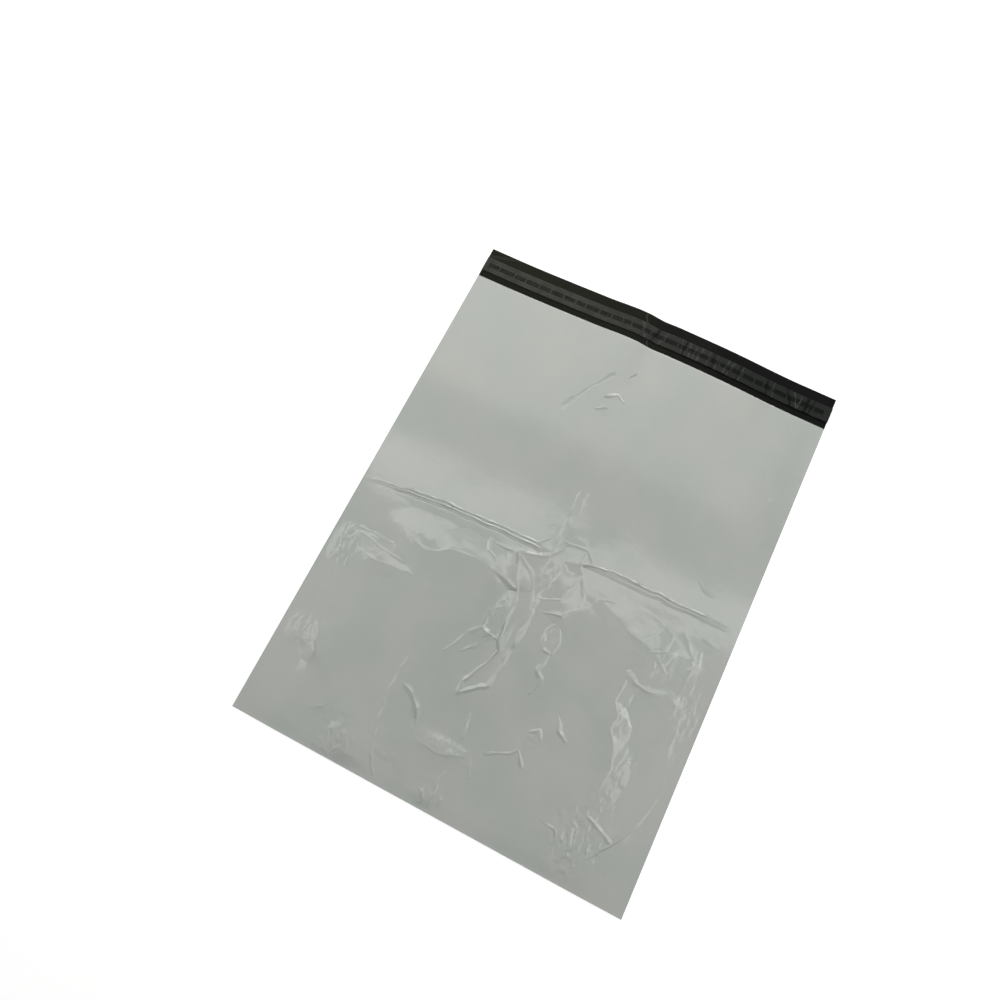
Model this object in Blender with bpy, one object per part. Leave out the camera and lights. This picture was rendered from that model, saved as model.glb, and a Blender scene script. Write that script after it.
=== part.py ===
"""Poly mailer: a flat pouch of thin polyethylene film, lying on its back with the flap open.

One length of film is folded at the bottom and cut-sealed down both sides. The back panel runs
past the mouth as the flap, which carries a band of adhesive under a release liner.

Units are metres. X runs across the mailer, +Y from the bottom fold to the flap, +Z up.
The origin is on the surface that the mailer lies on, under the middle of its outline.
"""
import math
from typing import NamedTuple

import bmesh
import bpy
from mathutils import Vector, kdtree
from mathutils.geometry import delaunay_2d_cdt

# Driving sizes of the pouch
PANEL_WIDTH = 0.400
PANEL_HEIGHT = 0.508
FLAP_LENGTH = 0.036
FILM_THICKNESS = 0.00007
WELD_WIDTH = 0.002

# Closure on the inside of the flap, from the mouth outwards
LINER_FROM_MOUTH = 0.0075
LINER_WIDTH = 0.017
LINER_THICKNESS = 0.00006
ADHESIVE_WIDTH = 0.012
ADHESIVE_THICKNESS = 0.00008
ADHESIVE_END_MARGIN = 0.004
SEAT_CLEARANCE = 0.0003

# How the film lies: the space between the panels, and the height of the soft arch
FOLD_GAP = 0.0004
LEAST_GAP = 0.0004
MOST_GAP = 0.0034
EDGE_RUN = 0.016
ARCH_HEIGHT = 0.0080
CREASE_RISE = 0.001
CREASE_HALF_WIDTH = 0.005

# The billow of the front panel: its height, its swing as a share, and its waves up and lean across
BILLOW_HEIGHT = 0.0013
BILLOW_SWING = 0.25
BILLOW_WAVES_UP = 2.6
BILLOW_LEAN = 3.0

# Wrinkles of the liner: they start and grow at these shares of the width, right of the middle
LINER_WRINKLE_HEIGHT = 0.0007
LINER_WRINKLE_PITCH = 0.0085
LINER_WRINKLE_START = -0.04
LINER_WRINKLE_GROWTH = 0.12
LINER_SECOND_WAVE = 0.6

# Fineness of the facets, and how near each other points may lie as shares of the spacing
FRONT_SPACING = 0.0155
BACK_SPACING = 0.019
FLAP_STATION_PITCH = 0.010
LINER_STATION_PITCH = 0.0042
CREASE_STEP = 0.020
SPREAD_CLEARANCE = 0.55
FOOT_CLEARANCE = 0.25
BORDER_CLEARANCE = 0.4
FOLD_STEPS = 4
PLAN_EPSILON = 1e-7

# Places worked out from the sizes above
HALF_WIDTH = PANEL_WIDTH / 2
TOTAL_LENGTH = PANEL_HEIGHT + FLAP_LENGTH
BOTTOM_Y = -TOTAL_LENGTH / 2
MOUTH_Y = BOTTOM_Y + PANEL_HEIGHT
FLAP_END_Y = BOTTOM_Y + TOTAL_LENGTH
FOLD_RADIUS = FILM_THICKNESS + FOLD_GAP / 2
FOLD_Y = BOTTOM_Y + FOLD_RADIUS
WELD_X = HALF_WIDTH - WELD_WIDTH
LINER_LOW_Y = MOUTH_Y + LINER_FROM_MOUTH
LINER_HIGH_Y = LINER_LOW_Y + LINER_WIDTH
ADHESIVE_LOW_Y = LINER_LOW_Y + (LINER_WIDTH - ADHESIVE_WIDTH) / 2
ADHESIVE_HIGH_Y = ADHESIVE_LOW_Y + ADHESIVE_WIDTH
ADHESIVE_Z = FILM_THICKNESS + SEAT_CLEARANCE
LINER_Z = ADHESIVE_Z + ADHESIVE_THICKNESS + SEAT_CLEARANCE


class Crease(NamedTuple):
    """A fold line pressed into the front panel.

    The path is in shares of the panel: across from its left edge, up from its bottom fold.
    The rise, positive for a ridge and negative for a valley, and the half width are multiples
    of CREASE_RISE and CREASE_HALF_WIDTH.
    """

    path: tuple
    rise: float
    half_width: float


# The mailer was folded in two: a ridge with a valley under it, broken by the crumple at the centre
HALF_FOLD = (
    Crease(((0.0, 0.502), (0.24, 0.518), (0.47, 0.530)), 1.6, 1.2),
    Crease(((0.0, 0.490), (0.24, 0.506), (0.47, 0.518)), -0.9, 1),
    Crease(((0.60, 0.531), (0.80, 0.538), (1.0, 0.542)), 1.6, 1.2),
    Crease(((0.60, 0.519), (0.80, 0.526), (1.0, 0.530)), -0.9, 1),
)
# The second fold, down the middle, shows in three short runs
CENTRE_FOLD = (
    Crease(((0.512, 0.981), (0.512, 0.895), (0.512, 0.808)), 0.7, 1.4),
    Crease(((0.512, 0.646), (0.512, 0.585), (0.508, 0.530)), 1.4, 1.2),
    Crease(((0.512, 0.179), (0.512, 0.090), (0.512, 0.0)), 1, 1.2),
)
# Star crumple where the two folds cross, with flat facets between its ridges
STAR_CRUMPLE = (
    Crease(((0.440, 0.494), (0.502, 0.512), (0.552, 0.504)), 1.8, 1.2),
    Crease(((0.440, 0.494), (0.483, 0.452), (0.527, 0.407)), 1.6, 1),
    Crease(((0.552, 0.504), (0.540, 0.455), (0.527, 0.407)), 1.4, 1),
    Crease(((0.502, 0.512), (0.512, 0.460)), -0.8, 1),
    Crease(((0.552, 0.504), (0.590, 0.552), (0.620, 0.502)), 1.2, 1),
    Crease(((0.620, 0.502), (0.632, 0.449), (0.612, 0.419), (0.545, 0.429)), 1.4, 1),
)
# The tongue that runs down from the star, and small crumples beside it
TONGUE = (
    Crease(((0.475, 0.423), (0.490, 0.403), (0.497, 0.317), (0.487, 0.272), (0.452, 0.228)), 1.5, 1),
    Crease(((0.527, 0.407), (0.537, 0.376), (0.527, 0.291), (0.515, 0.246), (0.457, 0.209)), 1.6, 1),
    Crease(((0.452, 0.228), (0.457, 0.209)), 1.4, 1),
    Crease(((0.470, 0.415), (0.440, 0.350), (0.387, 0.268)), 1.1, 1),
    Crease(((0.587, 0.390), (0.620, 0.376), (0.607, 0.311), (0.625, 0.300)), 1.3, 1),
)
# Soft swells and dents that lean away from the folds, left then right
LEFT_SWELLS = (
    Crease(((0.237, 0.415), (0.320, 0.443), (0.402, 0.443), (0.470, 0.429)), 1.2, 2.4),
    Crease(((0.062, 0.396), (0.187, 0.374)), 1.1, 2),
    Crease(((0.020, 0.385), (0.070, 0.325)), 0.9, 1.4),
    Crease(((0.062, 0.218), (0.112, 0.148)), 0.8, 1.8),
    Crease(((0.177, 0.075), (0.225, 0.037)), 0.8, 1.8),
)
RIGHT_SWELLS = (
    Crease(((0.652, 0.463), (0.670, 0.498), (0.720, 0.498)), 0.9, 1.2),
    Crease(((0.745, 0.508), (0.777, 0.468), (0.820, 0.463), (0.837, 0.488)), 1.2, 1.2),
    Crease(((0.802, 0.376), (0.852, 0.364), (0.902, 0.376), (0.952, 0.354)), 1.2, 1.4),
    Crease(((0.775, 0.364), (0.802, 0.297), (0.852, 0.238), (0.865, 0.187), (0.827, 0.128)), 1.2, 1.4),
    Crease(((0.965, 0.364), (0.960, 0.277), (0.955, 0.179), (0.927, 0.100), (0.887, 0.055)), 1.2, 1.4),
    Crease(((0.760, 0.105), (0.815, 0.040)), 0.8, 1.2),
    Crease(((0.840, 0.120), (0.905, 0.045)), 0.8, 1.2),
)
# Lower crinkles: a long fine crease, a shallow bow and a caret
LOWER_CRINKLES = (
    Crease(((0.315, 0.226), (0.312, 0.179), (0.325, 0.100), (0.340, 0.041), (0.375, 0.0)), 1, 1),
    Crease(((0.340, 0.177), (0.377, 0.153), (0.402, 0.120), (0.437, 0.104), (0.545, 0.120)), 1.3, 1.2),
    Crease(((0.587, 0.138), (0.645, 0.173), (0.675, 0.148)), 1, 1),
    Crease(((0.695, 0.246), (0.737, 0.218)), 0.9, 1),
)
# Upper half: one bent valley and a short bow
UPPER_DENTS = (
    Crease(((0.450, 0.905), (0.412, 0.868), (0.375, 0.807)), -0.8, 1.2),
    Crease(((0.462, 0.866), (0.487, 0.876), (0.512, 0.866)), 1, 1),
)
CREASES = (
    HALF_FOLD + CENTRE_FOLD + STAR_CRUMPLE + TONGUE
    + LEFT_SWELLS + RIGHT_SWELLS + LOWER_CRINKLES + UPPER_DENTS
)


class Hump(NamedTuple):
    """A rounded rise of the arch under the film.

    The middle and half width are shares of the panel's width, and the share is of the arch's
    height. The fade gives the shares up the panel between which the hump rises.
    """

    middle: float
    half_width: float
    share: float
    fade: tuple


# A broad hump runs from near the bottom to the flap. Three more shape the mouth, one of them a dip
HUMPS = (
    Hump(0.50, 0.42, 0.80, (0.10, 0.47)),
    Hump(0.445, 0.10, 0.27, (0.80, 1.00)),
    Hump(0.51, 0.045, -0.20, (0.80, 1.00)),
    Hump(0.72, 0.18, 0.22, (0.80, 1.00)),
)


def smooth(value):
    """Ease from 0 to 1 with level ends."""
    value = min(max(value, 0.0), 1.0)
    return value * value * (3 - 2 * value)


def spot(across, up):
    """Plan place of a panel share, across from the left edge and up from the bottom fold."""
    return Vector((-HALF_WIDTH + across * PANEL_WIDTH, FOLD_Y + up * (MOUTH_Y - FOLD_Y)))


def arch(x, y):
    """Height by which the film stands off the surface, from near the bottom fold to the flap."""
    across, up = (x + HALF_WIDTH) / PANEL_WIDTH, (y - FOLD_Y) / (MOUTH_Y - FOLD_Y)
    share = 0.0
    for hump in HUMPS:
        low, high = hump.fade
        bulge = smooth(1.0 - abs(across - hump.middle) / hump.half_width)
        share += hump.share * bulge * smooth((up - low) / (high - low))
    return ARCH_HEIGHT * share


def distance_to_path(point, path):
    """Shortest plan distance from a point to a run of straight pieces."""
    best = math.inf
    for start, end in zip(path, path[1:]):
        run = end - start
        share = min(max((point - start).dot(run) / run.length_squared, 0.0), 1.0)
        best = min(best, (point - start - run * share).length)
    return best


CREASE_PATHS = [[spot(*place) for place in crease.path] for crease in CREASES]


def crease_rise(point):
    """Highest ridge and deepest valley that reach a point of the front panel, added."""
    ridge = valley = 0.0
    for crease, path in zip(CREASES, CREASE_PATHS):
        share = 1.0 - distance_to_path(point, path) / (crease.half_width * CREASE_HALF_WIDTH)
        if share > 0.0:
            ridge = max(ridge, crease.rise * CREASE_RISE * share)
            valley = min(valley, crease.rise * CREASE_RISE * share)
    return ridge + valley


def gap(x, y):
    """Space between the two panels: none at the side welds, least at the bottom fold."""
    inset = WELD_X - abs(x)
    if inset <= PLAN_EPSILON:
        return 0.0
    up = (y - FOLD_Y) / (MOUTH_Y - FOLD_Y)
    across = (x + HALF_WIDTH) / PANEL_WIDTH
    wave = BILLOW_SWING * math.cos(2 * math.pi * BILLOW_WAVES_UP * up + BILLOW_LEAN * across)
    swell = math.sqrt(math.sin(math.pi * across)) * (1.0 - BILLOW_SWING + wave)
    open_gap = BILLOW_HEIGHT * swell + crease_rise(Vector((x, y)))
    open_gap = min(max(open_gap, LEAST_GAP), MOST_GAP)
    side_share = smooth(inset / EDGE_RUN)
    fold_share = smooth((y - FOLD_Y) / EDGE_RUN)
    return side_share * (FOLD_GAP + (open_gap - FOLD_GAP) * fold_share)


def stations(low, high, pitch):
    """Evenly spread values from low to high, about one pitch apart."""
    count = max(1, round((high - low) / pitch))
    return [low + (high - low) * step / count for step in range(count + 1)]


def spread_points(fixed, spacing):
    """Staggered rows of points between the welds that keep clear of the fixed points."""
    tree = kdtree.KDTree(len(fixed))
    for index, point in enumerate(fixed):
        tree.insert(point.to_3d(), index)
    tree.balance()
    added = []
    for row, y in enumerate(stations(FOLD_Y + spacing / 2, MOUTH_Y - spacing / 2, spacing)):
        shift = spacing / 4 if row % 2 else -spacing / 4
        for x in stations(-WELD_X + spacing / 2, WELD_X - spacing / 2, spacing):
            point = Vector((x + shift, y))
            if tree.find(point.to_3d())[2] > spacing * SPREAD_CLEARANCE:
                added.append(point)
    return added


class Plan:
    """Plan triangles of one panel, from its points and the lines that its facets must follow."""

    def __init__(self):
        self.points = []
        self.lines = []

    def add_line(self, line):
        """Add a run of points whose joining edges are kept."""
        first = len(self.points)
        self.points.extend(line)
        self.lines.extend((first + step, first + step + 1) for step in range(len(line) - 1))

    def triangles(self):
        """Return the corners of each triangle, as three plan points."""
        corners, _, faces, *_ = delaunay_2d_cdt(self.points, self.lines, [], 0, PLAN_EPSILON)
        return [[corners[index] for index in face] for face in faces]


def inside_weld(x):
    """Whether a place across the mailer lies on or within a side weld."""
    return abs(x) >= WELD_X - PLAN_EPSILON


def front_plan():
    """Triangles of the front panel: outline, weld lines, creases, their feet and spread points."""
    plan = Plan()
    side_places = stations(FOLD_Y, MOUTH_Y, FRONT_SPACING)
    for x in (-HALF_WIDTH, -WELD_X, WELD_X, HALF_WIDTH):
        plan.add_line([Vector((x, y)) for y in side_places])
    for y in (FOLD_Y, MOUTH_Y):
        inner_places = stations(-WELD_X, WELD_X, FRONT_SPACING)
        plan.add_line([Vector((x, y)) for x in [-HALF_WIDTH, *inner_places, HALF_WIDTH]])
    feet = []
    for crease, path in zip(CREASES, CREASE_PATHS):
        line = [path[0]]
        for start, end in zip(path, path[1:]):
            steps = max(1, round((end - start).length / CREASE_STEP))
            line.extend(start.lerp(end, step / steps) for step in range(1, steps + 1))
        plan.add_line([point for point in line if not inside_weld(point.x)])
        for side in (-1, 1):
            feet.extend(beside(line, side * crease.half_width * CREASE_HALF_WIDTH))
    margin = FRONT_SPACING * BORDER_CLEARANCE
    for foot in feet:
        in_panel = abs(foot.x) < WELD_X - margin and FOLD_Y + margin < foot.y < MOUTH_Y - margin
        clear = min((foot - point).length for point in plan.points) > FRONT_SPACING * FOOT_CLEARANCE
        if in_panel and clear:
            plan.points.append(foot)
    plan.points.extend(spread_points(plan.points, FRONT_SPACING))
    return plan.triangles()


def beside(line, offset):
    """The points of a line moved sideways, square to the line's own run at each point."""
    moved = []
    for index, point in enumerate(line):
        run = line[min(index + 1, len(line) - 1)] - line[max(index - 1, 0)]
        moved.append(point + run.orthogonal().normalized() * offset)
    return moved


def unique_places(triangles, chosen):
    """Places of the triangle corners that meet a test, each once, in order."""
    found = {place_key(corner): corner for triangle in triangles for corner in triangle if chosen(corner)}
    return [found[key] for key in sorted(found)]


def place_key(point):
    """A plan place as whole tenths of a micrometre, to match points of different panels."""
    return round(point.x * 1e7), round(point.y * 1e7)


def near(value, target):
    """Whether two lengths are the same within the plan's epsilon."""
    return abs(value - target) <= 2 * PLAN_EPSILON


def flap_lines():
    """Heights of the flap's own lines up the mailer, from the mouth to the free edge."""
    return [MOUTH_Y, LINER_LOW_Y, ADHESIVE_LOW_Y, ADHESIVE_HIGH_Y, LINER_HIGH_Y, FLAP_END_Y]


def back_plan(front):
    """Triangles of the back panel and flap, sharing the front's points at welds and bottom fold."""
    plan = Plan()
    for x in (-HALF_WIDTH, -WELD_X, WELD_X, HALF_WIDTH):
        plan.add_line(unique_places(front, lambda corner: near(corner.x, x)))
    plan.add_line(unique_places(front, lambda corner: near(corner.y, FOLD_Y)))
    inner_places = stations(-WELD_X, WELD_X, FLAP_STATION_PITCH)
    for y in flap_lines():
        plan.add_line([Vector((x, y)) for x in [-HALF_WIDTH, *inner_places, HALF_WIDTH]])
    plan.points.extend(spread_points(plan.points, BACK_SPACING))
    return plan.triangles()


class FilmSkin:
    """Collects the faces of the film's solid, with each corner made once."""

    def __init__(self):
        self.mesh = bmesh.new()
        self.corners = {}

    def corner(self, x, y, z):
        """The solid's vertex at a place, made when it is first asked for."""
        key = (round(x * 1e7), round(y * 1e7), round(z * 1e7))
        if key not in self.corners:
            self.corners[key] = self.mesh.verts.new((x, y, z))
        return self.corners[key]

    def face(self, places, material=0):
        """Add a face through the places; places that fall together count once."""
        verts = []
        for place in places:
            vert = self.corner(*place)
            if vert not in verts:
                verts.append(vert)
        if len(verts) >= 3:
            self.mesh.faces.new(verts).material_index = material


def front_outer(point):
    """Place on the outside of the front panel, over a plan point."""
    x, y = point
    return x, y, arch(x, y) + 2 * FILM_THICKNESS + gap(x, y)


def front_inner(point):
    """Place on the inside of the front panel."""
    x, y = point
    return x, y, arch(x, y) + FILM_THICKNESS + gap(x, y)


def back_inner(point):
    """Place on the inside of the back panel and of the flap."""
    x, y = point
    return x, y, arch(x, y) + FILM_THICKNESS


def back_outer(point):
    """Place on the underside of the back panel."""
    x, y = point
    return x, y, arch(x, y)


def fold_place(point, radius, step):
    """Place on the half-round of the bottom fold, from the front panel round to the back."""
    turn = math.pi / 2 + math.pi * step / FOLD_STEPS
    centre_z = FILM_THICKNESS + gap(point.x, point.y) / 2
    return point.x, point.y + radius * math.cos(turn), centre_z + radius * math.sin(turn)


def outer_fold_place(point, step):
    """Place on the outside of the bottom fold."""
    return fold_place(point, FILM_THICKNESS + gap(point.x, point.y) / 2, step)


def inner_fold_place(point, step):
    """Place on the inside of the bottom fold; at the welds the fold has no inside."""
    return fold_place(point, gap(point.x, point.y) / 2, step)


GREY, BLACK = 0, 1


def add_panels(skin, front, back):
    """Add the four skins of the two panels; the inner ones stop at the welds."""
    for triangle in front:
        skin.face([front_outer(corner) for corner in triangle], GREY)
        if abs(sum(corner.x for corner in triangle)) / 3 < WELD_X:
            skin.face([front_inner(corner) for corner in triangle], BLACK)
    for triangle in back:
        skin.face([back_outer(corner) for corner in triangle], GREY)
        middle = sum(triangle, Vector((0, 0))) / 3
        if abs(middle.x) < WELD_X or middle.y > MOUTH_Y:
            skin.face([back_inner(corner) for corner in triangle], BLACK)


def add_bottom_fold(skin, front):
    """Carry both skins round the bottom fold and cap its two ends."""
    row = unique_places(front, lambda corner: near(corner.y, FOLD_Y))
    for left, right in zip(row, row[1:]):
        for step in range(FOLD_STEPS):
            corners = ((left, step), (right, step), (right, step + 1), (left, step + 1))
            skin.face([outer_fold_place(*corner) for corner in corners], GREY)
            if abs(left.x + right.x) / 2 < WELD_X:
                skin.face([inner_fold_place(*corner) for corner in corners], BLACK)
    for end in (row[0], row[-1]):
        skin.face([outer_fold_place(end, step) for step in range(FOLD_STEPS + 1)], GREY)


def add_side_edges(skin, front, back):
    """Close the cut edges down both sides, of the welded pouch and of the single flap."""
    for x in (-HALF_WIDTH, HALF_WIDTH):
        column = unique_places(front, lambda corner: near(corner.x, x))
        for low, high in zip(column, column[1:]):
            places = [front_outer(low), front_outer(high)]
            if near(high.y, MOUTH_Y):
                places.append(back_inner(high))
            skin.face([*places, back_outer(high), back_outer(low)], GREY)
        flap_column = unique_places(back, lambda c: near(c.x, x) and c.y > MOUTH_Y - PLAN_EPSILON)
        for low, high in zip(flap_column, flap_column[1:]):
            skin.face([back_inner(low), back_inner(high), back_outer(high), back_outer(low)], GREY)


def add_mouth_and_flap_edges(skin, front, back):
    """Close the front panel's cut edge at the mouth and the flap's free edge."""
    mouth = unique_places(front, lambda corner: near(corner.y, MOUTH_Y))
    for left, right in zip(mouth, mouth[1:]):
        under = back_inner if inside_weld((left.x + right.x) / 2) else front_inner
        skin.face([front_outer(left), front_outer(right), under(right), under(left)], GREY)
    free_edge = unique_places(back, lambda corner: near(corner.y, FLAP_END_Y))
    for left, right in zip(free_edge, free_edge[1:]):
        skin.face([back_inner(left), back_inner(right), back_outer(right), back_outer(left)], GREY)


def material(name, colour, roughness, metallic=0.0):
    """A Principled BSDF material in one colour."""
    made = bpy.data.materials.new(name)
    made.use_nodes = True
    shader = made.node_tree.nodes["Principled BSDF"]
    shader.inputs["Base Color"].default_value = (*colour, 1.0)
    shader.inputs["Roughness"].default_value = roughness
    shader.inputs["Metallic"].default_value = metallic
    return made


def finish_object(name, mesh, materials):
    """Turn a bmesh into a named object with its faces pointing out."""
    bmesh.ops.recalc_face_normals(mesh, faces=mesh.faces)
    data = bpy.data.meshes.new(name)
    mesh.to_mesh(data)
    mesh.free()
    for item in materials:
        data.materials.append(item)
    made = bpy.data.objects.new(name, data)
    bpy.context.collection.objects.link(made)
    return made


def build_bag_film():
    """The folded and side-welded film: front panel, back panel and flap in one piece."""
    front = front_plan()
    back = back_plan(front)
    skin = FilmSkin()
    add_panels(skin, front, back)
    add_bottom_fold(skin, front)
    add_side_edges(skin, front, back)
    add_mouth_and_flap_edges(skin, front, back)
    grey = material("grey_film", (0.36, 0.38, 0.36), 0.28)
    black = material("black_film", (0.018, 0.018, 0.016), 0.35)
    return finish_object("bag_film", skin.mesh, [grey, black])


def add_strip(mesh, places_x, edges_y, bottom_height, thickness):
    """Add a thin closed strip across the mailer whose underside follows a height function."""
    layers = []
    for lift in (0.0, thickness):
        layers.append([
            [mesh.verts.new((x, y, bottom_height(x, y) + lift)) for x in places_x] for y in edges_y
        ])
    bottom, top = layers
    last = len(places_x) - 1
    for step in range(last):
        for row in range(len(edges_y) - 1):
            for layer in layers:
                near_row, far_row = layer[row], layer[row + 1]
                mesh.faces.new((near_row[step], near_row[step + 1], far_row[step + 1], far_row[step]))
        for row in (0, -1):
            mesh.faces.new((bottom[row][step], bottom[row][step + 1], top[row][step + 1], top[row][step]))
    for row in range(len(edges_y) - 1):
        for step in (0, last):
            mesh.faces.new((bottom[row][step], bottom[row + 1][step], top[row + 1][step], top[row][step]))


def build_adhesive_strip():
    """The hot-melt band, a little short of the side edges."""
    mesh = bmesh.new()
    inner_places = stations(-WELD_X, WELD_X, FLAP_STATION_PITCH)
    end = HALF_WIDTH - ADHESIVE_END_MARGIN
    places_x = [-end, *(x for x in inner_places if abs(x) < end - ADHESIVE_END_MARGIN), end]
    edges_y = [ADHESIVE_LOW_Y, ADHESIVE_HIGH_Y]
    add_strip(mesh, places_x, edges_y, lambda x, y: arch(x, y) + ADHESIVE_Z, ADHESIVE_THICKNESS)
    clear_glue = material("hot_melt_adhesive", (0.45, 0.43, 0.36), 0.4)
    return finish_object("adhesive_strip", mesh, [clear_glue])


def liner_wrinkle(x):
    """Rise of the crosswise wrinkles in the right half of the liner."""
    reach = smooth((x / PANEL_WIDTH - LINER_WRINKLE_START) / LINER_WRINKLE_GROWTH)
    turn = math.pi * x / LINER_WRINKLE_PITCH
    wave = math.sin(2 * turn) + LINER_SECOND_WAVE * math.sin(turn + 1.0)
    return LINER_WRINKLE_HEIGHT * reach * max(0.0, wave) / (1.0 + LINER_SECOND_WAVE)


def build_release_liner():
    """The strip that covers the adhesive, flush with both side edges, wrinkled on its right half."""
    mesh = bmesh.new()
    places_x = stations(-HALF_WIDTH, HALF_WIDTH, LINER_STATION_PITCH)
    edges_y = [LINER_LOW_Y, LINER_HIGH_Y]
    underside = lambda x, y: arch(x, y) + LINER_Z + liner_wrinkle(x)
    add_strip(mesh, places_x, edges_y, underside, LINER_THICKNESS)
    silver = material("release_liner", (0.075, 0.078, 0.072), 0.4)
    return finish_object("release_liner", mesh, [silver])


def main():
    """Clear the scene and build the mailer's three pieces."""
    for old in list(bpy.data.objects):
        bpy.data.objects.remove(old, do_unlink=True)
    build_bag_film()
    build_adhesive_strip()
    build_release_liner()


main()
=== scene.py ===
"""Dresses a grey poly mailer: creased glossy film, flap, release liner, studio and camera.

Units are metres, in the row frame: X across the mailer, +Y from the bottom fold to the flap, +Z up.
"""
import logging
import math
from dataclasses import dataclass, field
from enum import Enum, IntEnum

import bmesh
import bpy
import numpy as np
from mathutils import Matrix, Vector
from mathutils.geometry import delaunay_2d_cdt


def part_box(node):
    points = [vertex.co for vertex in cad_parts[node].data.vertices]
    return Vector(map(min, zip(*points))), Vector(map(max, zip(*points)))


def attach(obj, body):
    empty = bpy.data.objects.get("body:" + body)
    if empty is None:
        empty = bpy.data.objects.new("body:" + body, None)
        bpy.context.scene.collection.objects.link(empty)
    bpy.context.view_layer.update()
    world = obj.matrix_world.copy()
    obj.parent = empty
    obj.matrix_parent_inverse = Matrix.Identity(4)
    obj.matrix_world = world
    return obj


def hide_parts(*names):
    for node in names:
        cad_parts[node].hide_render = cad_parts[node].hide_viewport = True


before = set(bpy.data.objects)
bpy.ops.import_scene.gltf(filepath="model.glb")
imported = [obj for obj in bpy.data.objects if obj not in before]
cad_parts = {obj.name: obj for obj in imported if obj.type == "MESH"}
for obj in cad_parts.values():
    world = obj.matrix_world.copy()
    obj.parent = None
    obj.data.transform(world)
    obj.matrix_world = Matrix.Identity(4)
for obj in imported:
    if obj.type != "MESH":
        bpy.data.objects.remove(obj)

LOG = logging.getLogger("poly_mailer")
BODY = "root"
Socket = bpy.types.NodeSocket
NOISE_REACH = 1.0  # half side of the square that lattice_noise covers
MERGE_DISTANCE = 1e-6
WOBBLE = 0.004  # how far a crease mark strays across its line, in metres
WOBBLE_SCALE = 160.0


class FilmSide(IntEnum):
    """The two faces of the co-extruded film, as material indices."""

    GREY = 0
    BLACK = 1


class Quality(Enum):
    """How finely the film's skins are divided: cell sizes for the lower and the upper panel."""

    FULL = (0.0016, 0.0032)
    QUICK = (0.0034, 0.0050)


def smooth(value: np.ndarray) -> np.ndarray:
    """Ease from 0 to 1 with level ends."""
    value = np.clip(value, 0.0, 1.0)
    return value * value * (3 - 2 * value)


def spread(low: float, high: float, pitch: float) -> np.ndarray:
    """Even places from low to high, about one pitch apart."""
    return np.linspace(low, high, max(1, round((high - low) / pitch)) + 1)


@dataclass(frozen=True)
class Fold:
    """A fold line of the front panel, with flat facets of film between it and the next.

    Each place of the path is (share across from the left edge, share up from the bottom fold, level
    over the back panel in millimetres). A sharp ridge, or a valley if below zero, of the given rise
    and half width in millimetres follows the path.
    """

    path: tuple
    ridge: float
    half_width: float


@dataclass(frozen=True)
class CrinklePatch:
    """An oval of fine crinkles: centre and half sizes in panel shares, and its strength."""

    centre: tuple
    half_size: tuple
    strength: float


@dataclass(frozen=True)
class Hump:
    """A rounded rise of the arch, in panel shares: its middle and half width across, its part of
    the arch's height, and where up the panel it fades in."""

    middle: float
    half_width: float
    share: float
    fade: tuple


MID_FOLD = (
    Fold(((0.000, 0.495, 0.9), (0.100, 0.507, 1.1), (0.175, 0.518, 1.2), (0.312, 0.523, 1.2),
          (0.472, 0.526, 1.1)), 0.27, 0.85),
    Fold(((0.090, 0.502, 1), (0.175, 0.511, 1.1), (0.312, 0.516, 1.15), (0.475, 0.519, 1.2)), 0.22, 0.62),
    Fold(((0.000, 0.487, 0.8), (0.075, 0.495, 0.8), (0.175, 0.504, 0.75), (0.312, 0.509, 0.75),
          (0.480, 0.512, 0.8)), -0.10, 0.6),
    Fold(((0.615, 0.531, 1.2), (0.670, 0.540, 1.25), (0.775, 0.542, 1.3), (1.000, 0.544, 1.1)), 0.30, 0.85),
    Fold(((0.680, 0.530, 1), (0.750, 0.534, 1.1), (0.875, 0.537, 1.15), (1.000, 0.539, 1)), 0.12, 0.7),
    Fold(((0.603, 0.522, 0.8), (0.750, 0.528, 0.75), (0.875, 0.531, 0.75), (1.000, 0.533, 0.75)), -0.10, 0.6),
    Fold(((0.475, 0.528, 1.3), (0.500, 0.555, 1.3), (0.507, 0.575, 1.1)), 0.15, 1.2),
    Fold(((0.532, 0.553, 1.8), (0.590, 0.557, 1.8), (0.618, 0.533, 1.3), (0.590, 0.524, 2)), 0.22, 1.2),
    Fold(((0.590, 0.557, 1.8), (0.590, 0.524, 2)), 0.15, 1),
)
CENTRE_FOLD = (
    Fold(((0.512, 0.980, 0.9), (0.515, 0.896, 0.9), (0.512, 0.809, 0.9)), 0.1, 1.6),
    Fold(((0.512, 0.650, 1), (0.512, 0.591, 1.1), (0.510, 0.524, 1.9)), 0.2, 1.2),
    Fold(((0.510, 0.185, 1), (0.514, 0.142, 0.8)), 0.24, 1.3),
    Fold(((0.515, 0.075, 1.8), (0.510, 0.050, 1.2), (0.515, 0.001, 0.6)), 0.18, 1.1),
    Fold(((0.532, 0.031, 1), (0.537, 0.002, 0.7)), 0.22, 1.1),
)
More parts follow.
